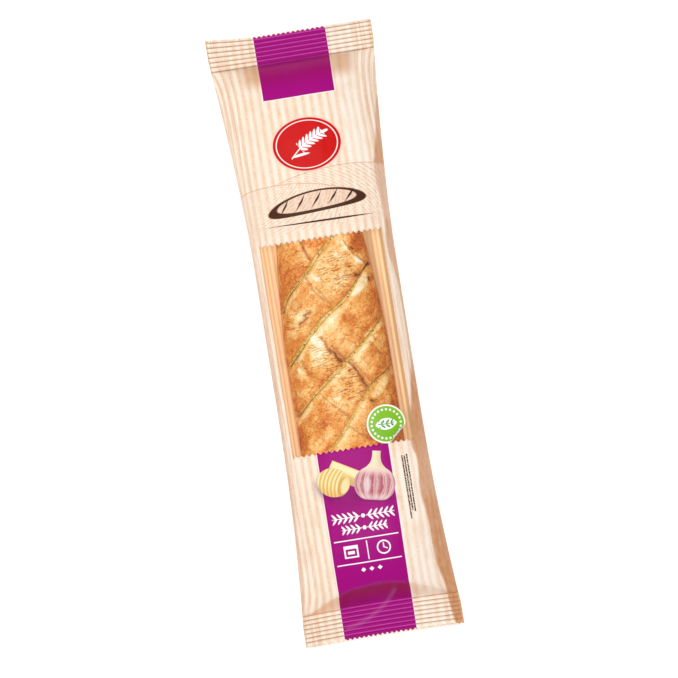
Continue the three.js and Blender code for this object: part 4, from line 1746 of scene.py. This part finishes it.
@dataclass(frozen=True)
class CrustFinish:
    """Baked crust: orange brown, wrinkled and pale where it cracked open, darker in its creases, partly as painted
    shade; painted shade also in wrinkle valleys, pits and deep cuts, and painted highlights on lips and crags.
    """

    seams: tuple[Seam, ...]
    fold_angle: float
    fold_pitch: float = 1.45
    tones: tuple[tuple[float, str], ...] = (
        (0.0, "B04A00"), (0.2, "D27016"), (0.37, "E79638"), (0.54, "F3B96A"), (0.72, "FAD390"),
        (0.88, "FDE9BA"), (1.0, "FFF6DC"))
    # burnt specks, and also the painted shade in pits and deep cuts
    burnt_and_hollow_shade: str = "6B3206"
    crack: str = "78380A"
    # browner crust beside the creases, and also painted shade there
    crease_brown_and_shade: str = "B8620F"
    soaked: str = "E8BE66"

    def nearest_seam(self, b: Board, x: Wire, y: Wire, dark: bool) -> Wire:
        """Finds the nearest seam.

        Args:
            b: the crust's board.
            x: the place across the pack.
            y: the place along it.
            dark: whether the dark seams are meant, or the pale ones.

        Returns:
            The distance in mm beyond its edge.
        """
        nearest = None
        for seam in self.seams:
            for start, end, first, last in seam.pieces() if seam.dark == dark else ():
                dx, dy = end[0] - start[0], end[1] - start[1]
                px, py = x - start[0], y - start[1]
                t = b.lower(b.higher((px * dx + py * dy) / (dx * dx + dy * dy), 0.0), 1.0)
                away = b.far(px - t * dx, py - t * dy) - (t * (last - first) + first)
                nearest = away if nearest is None else b.lower(nearest, away)
        return nearest

    def finish(self) -> Material:
        """Makes the material."""
        b = Board("baked_crust")
        place = b.object_mm()
        pale, brown, lip_and_highlight, dark, butter = map(b.value_of, ("pale", "brown", "lip_and_highlight", "dark", "butter"))
        cloud = b.noise(b.turned(b.warped(place, 9.0, 5.0), 43.0, (1.8, 1.0, 1.2)), 6.6, 3.0, 0.55) - 0.5
        mottle = b.noise(place, 2.4, 4.0, 0.6) - 0.5
        speck = b.noise(place, 0.7, 2.0, 0.7) - 0.5
        along, across, _ = b.split(b.turned(place, self.fold_angle, (1.0, 1.0, 1.0)))
        sway = (b.noise(b.place(along * 0.4, across * 0.8), 2.8, 3.0, 0.6) - 0.5) * 5.4
        broken = b.fall(b.noise(b.place(along * 0.4, across, 7.0), 2.2), 0.34, 0.60)
        valley = (0.5 - b.wave((across + sway) / self.fold_pitch) * 0.5) * broken
        cracked = pale * 0.92 + 0.08
        fine = b.noise(place, 1.3, 2.0, 0.7) - 0.5
        flake_place = b.turned(b.warped(place, 4.0, 4.5), 28.0, (1.7, 1.0, 1.0))
        facet = b.split(b.flakes(flake_place, 5.2, Flake.COLOUR))[0] - 0.5
        brink = b.flakes(flake_place, 5.2, Flake.BRINK)
        # the lip value lightens cut lips and cream crags: partly paler crust, partly painted highlight
        tone = 0.475 + cloud * 1.02 + mottle * 0.34 + fine * 0.54 + speck * 0.66 - brown * 0.21 + lip_and_highlight * 0.4
        tone = tone + facet * 0.17 - b.fall(brink, 0.07, 0.0) * b.fall(cloud + mottle, -0.12, 0.06) * 0.2
        # painted shade and highlight: on the pale patches, wrinkle valleys are darkened and crests lightened
        b.colour = b.ramp_of(tone + cracked * (0.18 - valley * valley * 0.52), self.tones)
        x, y, _ = b.split(b.warped(place, 3.0, 2.2))
        ragged = speck * 0.9 + mottle * 0.8
        deep = self.nearest_seam(b, x, y, True) + ragged
        soft = self.nearest_seam(b, x, y, False) + ragged
        # darker along the creases: partly browner crust, partly painted shade in and beside each crease
        line = b.fall(deep, 0.3, -0.15) * (b.fall(b.noise(place, 2.1), 0.3, 0.5) * 0.5 + 0.5)
        b.lay(self.crease_brown_and_shade, b.fall(soft, 0.9, -0.2) * 0.6)
        b.lay(self.crease_brown_and_shade, b.fall(deep, 2.1, 0.1) * 0.8)
        b.lay(self.crack, line * 0.9)
        scorch = b.fall(b.noise(place, 1.7, 1.0), 0.74, 0.79) + b.fall(b.noise(place, 0.85, 1.0), 0.72, 0.78) * pale
        b.lay(self.burnt_and_hollow_shade, scorch * 0.55)
        b.lay(self.soaked, butter * (0.55 + mottle))
        # painted shade in the pits and in the deep ends of the cuts
        b.lay(self.burnt_and_hollow_shade, b.fall(dark, 0.18, 0.9) * 0.85)
        relief = b.bump(-line, 0.5, b.bump(mottle, 0.4))
        relief = b.bump(speck, 0.2, b.bump((1.0 - valley) * cracked, 0.26, relief))
        return b.finish(0.6 - butter * 0.22, relief, Specular_IOR_Level=0.35)


@dataclass
class GarlicButter:
    """Herb butter that fills a cut, lumpy on top and flecked with herbs."""

    loaf: Loaf
    butter: Material
    herb: Material
    floor: float = 12.4
    step: float = 0.45
    profile: tuple[float, ...] = (-1.0, -0.96, -0.6, -0.2, 0.2, 0.6, 0.96, 1.0)
    herb_every: float = 2.4
    herb_size: float = 0.37
    herb_corners: Pairs = ((1, 0), (0.3, 0.8), (-0.8, 0.5), (-0.9, -0.5), (0.2, -0.9))

    def top_points(self, cut: Cut, x: Array, offset: Array, grain: Grain) -> Array:
        """Points of the butter's top.

        Args:
            cut: the cut that it fills.
            x: places across the loaf.
            offset: how far from the cut's middle each is, across the cut.
            grain: the source of its lumps.

        Returns:
            The points, one more dimension.
        """
        a = math.radians(cut.angle)
        px, py = x - offset * math.sin(a), cut.line(x, self.loaf.x) + offset * math.cos(a)
        height, s = self.loaf.crown_at(px, py)
        sunk = curve_through(cut.sunk, x) - 0.08
        lump = 0.14 * grain.at(px, py, 3.0, 2.3) + 0.12 * grain.at(px, py, 6.0, 0.8)
        z = height - sunk * np.clip(s, 0.35, 1.0) + lump
        return np.stack([px, py, np.maximum(z, self.floor + 0.5)], axis=-1)

    def build(self, index: int, cut: Cut) -> Piece:
        """The butter of one cut as a closed mesh, with its herb flecks joined to it.

        Args:
            index: the cut's number.
            cut: the cut.

        Returns:
            The piece.
        """
        grain, reach = Grain(40 + index), self.reach(cut)
        x = np.arange(*reach, self.step)
        offsets = (curve_through(cut.width, x) / 2 + 0.2)[:, None] * self.profile
        across = np.repeat(x[:, None], len(self.profile), axis=1)
        top = self.top_points(cut, across, offsets, grain)
        top[:, [0, -1], 2] -= 0.35
        low = top[:, [-1, 0]].copy()
        low[..., 2] = self.floor
        points = np.concatenate([top, low], axis=1)
        piece = dress(rolled_tube(f"butter_{index}", points[:, ::-1]), self.butter, self.herb)
        side = (*self.profile, 1.0, -1.0)[::-1]
        buried = ramp(curve_through(cut.sunk, x), 1.8, 4.6)
        side, buried = np.meshgrid(side, buried)
        write_values(piece, "side", side)
        write_values(piece, "buried", buried)
        self.add_herbs(piece, cut, reach, grain, index)
        return piece

    def reach(self, cut: Cut) -> Pair:
        """Finds where a cut leaves the loaf's sides.

        Args:
            cut: the cut.

        Returns:
            The places across the pack of its two ends.
        """
        x = np.linspace(-29, 29, 400) + self.loaf.x
        y = cut.line(x, self.loaf.x)
        half, s = self.loaf.section(y)[0], self.loaf.crown_at(x, y)[1]
        inside = x[(np.abs(x - self.loaf.x) < half - 0.8) & (s > 0.12)]
        return float(inside[0]), float(inside[-1])

    def add_herbs(self, piece: Piece, cut: Cut, reach: Pair, grain: Grain, index: int) -> None:
        """Scatters flattened herb flecks on the butter and joins them to it.

        Args:
            piece: the butter.
            cut: the cut that it fills.
            reach: the cut's ends.
            grain: the source of the butter's lumps.
            index: the cut's number.
        """
        rng = np.random.default_rng(70 + index)
        count = round((reach[1] - reach[0]) / self.herb_every)
        x = rng.uniform(reach[0] + 1, reach[1] - 1, count)
        side = rng.uniform(-0.5, 0.12, count) * curve_through(cut.width, x)
        places = self.top_points(cut, x, side, grain)
        turn = rng.uniform(0, math.tau, count)
        size = self.herb_size * rng.uniform(0.6, 1.4, (count, 2)) * (1.5, 0.7)
        corners, vertices, faces = len(self.herb_corners), [], []
        for i in range(count):
            u, v = (np.array(self.herb_corners) * size[i]).T
            spin = turned_axes(u, v, -math.degrees(turn[i]))
            base = len(vertices)
            vertices.extend(places[i] + (dx, dy, 0.16) for dx, dy in zip(*spin))
            vertices.extend((places[i] + (0, 0, 0.34), places[i] + (0, 0, -0.12)))
            for k in range(corners):
                this, after = base + k, base + (k + 1) % corners
                faces += [(this, after, base + corners), (after, this, base + corners + 1)]
        herbs = dress(joined_faces("herbs", np.array(vertices), faces), *piece.data.materials)
        herbs.data.polygons.foreach_set("material_index", np.ones(len(faces), dtype=np.int32))
        select_only(herbs, piece)
        bpy.ops.object.join()


@dataclass(frozen=True)
class ButterFinish:
    """Yellow-olive garlic butter, soaked and glossy, with a painted lighter lower half and painted shade on its
    upper half, at its edges and deep in the cuts.
    """

    light: str = "E9B947"
    deep: str = "BC8420"
    green: str = "A08C2C"
    # the next three colours: painted light on the lower half, painted shade on the upper half and at the edges
    painted_lit_side: str = "F4D06A"
    painted_shade_side: str = "B07A1C"
    butter_edge_shade: str = "9A6122"
    shaded: str = "3E1D0A"

    def finish(self) -> Material:
        """Makes the material."""
        b = Board("garlic_butter")
        place = b.object_mm()
        cloud = b.noise(place, 1.6, 3.0, 0.6)
        b.ground(self.light, self.deep, b.fall(cloud, 0.36, 0.66))
        b.lay(self.green, b.fall(b.noise(place, 2.9), 0.52, 0.75) * 0.5)
        side = b.value_of("side") + (b.noise(place, 1.4) - 0.5) * 1.2
        # painted light and shade: the lower half is lightened, the upper half under the crust's edge darkened
        b.lay(self.painted_lit_side, b.fall(side, 0.1, -0.7) * 0.5)
        b.lay(self.painted_shade_side, b.fall(side, -0.1, 0.7) * 0.6)
        # painted shade where the butter meets the crust walls
        b.lay(self.butter_edge_shade, b.fall(abs(side), 0.72, 1.1) * 0.7)
        buried = b.value_of("buried") * 1.5 + (b.noise(place, 1.6) - 0.5) * 1.6
        b.lay(self.shaded, b.fall(buried, 0.45, 0.95) * 0.92)
        return b.finish(0.34, b.bump(cloud, 0.2))


@dataclass(frozen=True)
class HerbFinish:
    """Chopped dried herbs."""

    light: str = "5A5E2C"
    deep: str = "2C3018"

    def finish(self) -> Material:
        """Makes the material."""
        b = Board("chopped_herbs")
        b.ground(self.deep, self.light, b.fall(b.noise(b.object_mm(), 0.9), 0.35, 0.65))
        return b.finish(0.6)


# ---- the sticker


@dataclass(frozen=True)
class StickerFinish:
    """The sticker's face: green with a white rim and a sprig on a white lens."""

    green: str = "72B40E"
    green_light: str = "8CC224"
    leaf: str = "4C9A1E"
    rim: str = "FBF8E6"
    white: str = "FFFFFF"
    radius: float = 10.8
    rim_width: float = 0.95
    beads: int = 22
    bead_inset: float = 2.75

    def finish(self) -> Material:
        """Makes the material."""
        b = Board("sticker_face")
        u, v = b.print_mm()
        out = b.far(u, v)
        shade = b.noise(b.place(u, v), 5.0) * 0.25 + 0.05
        green = b.mix(paint(self.green), paint(self.green_light), shade + b.fall(v, -8.0, 8.0) * 0.35)
        b.colour = b.mix(paint(self.rim), green, b.edge(self.radius - self.rim_width - out))
        b.stamp(self.white, b.lower(7.2 - b.far(u, v - 4.0), 7.2 - b.far(u, v + 4.0)))
        side = abs(v - u * u * 0.02)
        b.stamp(self.leaf, b.lower(0.25 - side, 4.6 - abs(u)))
        cell = b.cell(u - side * 0.8, 1.35)
        b.stamp(self.leaf, b.lower(0.86 - abs(cell) - abs(side - 1.2) * 0.6, 4.0 - abs(u), 2.5 - side))
        turns = b.math("ARCTAN2", v, u) * (self.beads / math.tau)
        bead = b.cell(turns, 0.5) * (math.tau * (self.radius - self.bead_inset) / self.beads)
        b.stamp(self.white, 0.62 - b.far(bead, out - self.radius + self.bead_inset))
        return b.finish(0.4, b.bump(b.noise(b.place(u, v), 3.0), 0.04), Specular_IOR_Level=0.3)


@dataclass(frozen=True)
class StickerBackFinish:
    """The sticker's pale grey underside, painted darker as shade in the curl."""

    light: str = "DEDEE6"
    deep: str = "C2C2CE"

    def finish(self) -> Material:
        """Makes the material."""
        b = Board("sticker_back")
        b.ground(self.light, self.deep, b.noise(b.object_mm(), 2.0))
        return b.finish(0.5)


@dataclass
class RoundSticker:
    """A round sticker on the window with one edge rolled up."""

    film: PrintedFilm
    face: Material
    back: Material
    radius: float = 10.8
    x: float = 19.0
    y: float = -54.6
    curl_angle: float = -48.0
    curl_start: float = 7.15
    curl_radius: float = 1.25
    lift: float = 0.12
    thickness: float = 0.16
    rings: int = 22
    spokes: int = 72

    def build(self) -> Piece:
        """The disc, rolled up beyond the start of its curl."""
        turn, share = np.meshgrid(np.linspace(0, math.tau, self.spokes + 1), np.linspace(0.0, 1.0, self.rings))
        along, side = self.radius * share * np.cos(turn), self.radius * share * np.sin(turn)
        roll = np.maximum(0.0, along - self.curl_start) / self.curl_radius
        curled = np.minimum(along, self.curl_start) + self.curl_radius * np.sin(roll)
        x, y = turned_axes(curled, side, -self.curl_angle)
        x, y = self.x + x, self.y + y
        height = self.film.form.top(x, y) + self.film.relief(x, y)
        rise = self.curl_radius * (1 - np.cos(roll))
        piece = woven_grid("sticker", np.stack([x, y, height + self.lift + rise], axis=-1))
        write_print(piece, *turned_axes(along, side, -self.curl_angle))
        select_only(piece)
        bpy.ops.object.mode_set(mode="EDIT")
        bpy.ops.mesh.select_all(action="SELECT")
        bpy.ops.mesh.remove_doubles(threshold=1e-6)
        bpy.ops.mesh.normals_make_consistent(inside=False)
        bpy.ops.object.mode_set(mode="OBJECT")
        if piece.data.polygons[self.spokes * 3].normal.z < 0:
            piece.data.flip_normals()
        dress(piece, self.face, self.back)
        apply_modifier(piece, "SOLIDIFY", thickness=self.thickness * MM, offset=1.0, material_offset=1,
                       material_offset_rim=1)
        return piece


# ---- studio


@dataclass
class Studio:
    """A pale floor, soft light from the upper left, and the camera straight above."""

    tilt: float = -9.164
    look_at: Pair = (0.81, -4.31)
    view_height: float = 373.6
    camera_height: float = 900.0
    floor_size: float = 6.0
    floor_gap: float = 0.2
    floor_grey: tuple[float, ...] = (0.93, 0.93, 0.93, 1.0)
    white: tuple[float, ...] = (1.0, 1.0, 1.0, 1.0)
    world_light: float = 0.5

    def hang(self, name: str, data: bpy.types.ID, place: tuple[float, ...], turn: tuple[float, ...]) -> Piece:
        """Puts a light or camera in its place.

        Args:
            name: its name.
            data: the light or camera.
            place: where it hangs, in metres.
            turn: its turns round the three axes.

        Returns:
            Its object.
        """
        made = bpy.data.objects.new(name, data)
        made.location, made.rotation_euler = place, turn
        bpy.context.collection.objects.link(made)
        return made

    def light(self, name: str, place: tuple[float, float, float], size: float, power: float) -> None:
        """An area light that faces the pack's middle.

        Args:
            name: its name.
            place: where it hangs, in metres.
            size: how wide it is, in metres.
            power: its power in watts.
        """
        data = bpy.data.lights.new(name, "AREA")
        data.shape, data.size, data.energy = "DISK", size, power
        x, y, z = (-value for value in place)
        self.hang(name, data, place, (math.atan2(math.hypot(x, y), -z), 0.0, math.atan2(x, -y) + math.pi))

    def floor(self) -> None:
        """Makes the pale floor."""
        bpy.ops.object.select_all(action="DESELECT")
        bpy.ops.mesh.primitive_plane_add(size=self.floor_size, location=(0, 0, -self.floor_gap * MM))
        floor = bpy.context.active_object
        floor.name = "floor"
        dress(floor, Board("pale_floor").finish(
            0.9, Base_Color=self.floor_grey, Emission_Strength=0.35, Emission_Color=self.white))

    def build(self) -> None:
        """Makes the floor, the lights, the world and the camera."""
        self.floor()
        self.light("key", (-0.34, 0.1, 1.25), 0.4, 5.2)
        self.light("overhead", (0.15, 0.0, 1.6), 0.6, 8.4)
        scene = bpy.context.scene
        scene.world = bpy.data.worlds.new("studio")
        scene.world.use_nodes = True
        background = scene.world.node_tree.nodes["Background"]
        background.inputs["Color"].default_value = self.white
        background.inputs["Strength"].default_value = self.world_light
        scene.view_settings.view_transform = "Standard"
        data = bpy.data.cameras.new("camera")
        data.type, data.ortho_scale = "ORTHO", self.view_height * MM
        place = (self.look_at[0] * MM, self.look_at[1] * MM, self.camera_height * MM)
        scene.camera = self.hang("camera", data, place, (0.0, 0.0, math.radians(self.tilt)))


# ---- assembly


def settle(piece: Piece, slot: str, *nodes: str) -> None:
    """Makes a finished piece ride on the pack and stand for its solids.

    Args:
        piece: the piece.
        slot: not used.
        nodes: the solids that it stands for.
    """
    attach(piece, BODY)
    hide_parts(*nodes)
    LOG.info("%s: %d faces, stands for %s", piece.name, len(piece.data.polygons), ", ".join(nodes))


def main() -> None:
    """Builds the studio, the film, the loaf, its butter and the sticker."""
    logging.basicConfig(level=logging.INFO, format="%(name)s: %(message)s")
    Studio().build()
    form = PackForm()
    film = PrintedFilm(form, FilmPrint(form, FilmInks()).finish(), InsideFilm().finish(), ClearFilm().finish())
    for build in (film.front, film.back, film.fin):
        settle(build(), "printed_film", "wrapper")
    settle(film.window_pane(), "clear_film", "window_film")
    loaf = Loaf()
    settle(loaf.build(CrustFinish(loaf.seams, loaf.fold_angle).finish()), "crust", "baguette")
    filling = GarlicButter(loaf, ButterFinish().finish(), HerbFinish().finish())
    for index, cut in enumerate(CUTS, start=1):
        settle(filling.build(index, cut), "garlic_butter", f"garlic_butter_{index}")
    sticker = RoundSticker(film, StickerFinish().finish(), StickerBackFinish().finish())
    settle(sticker.build(), "sticker", "round_sticker")


if __name__ == "__main__":
    main()
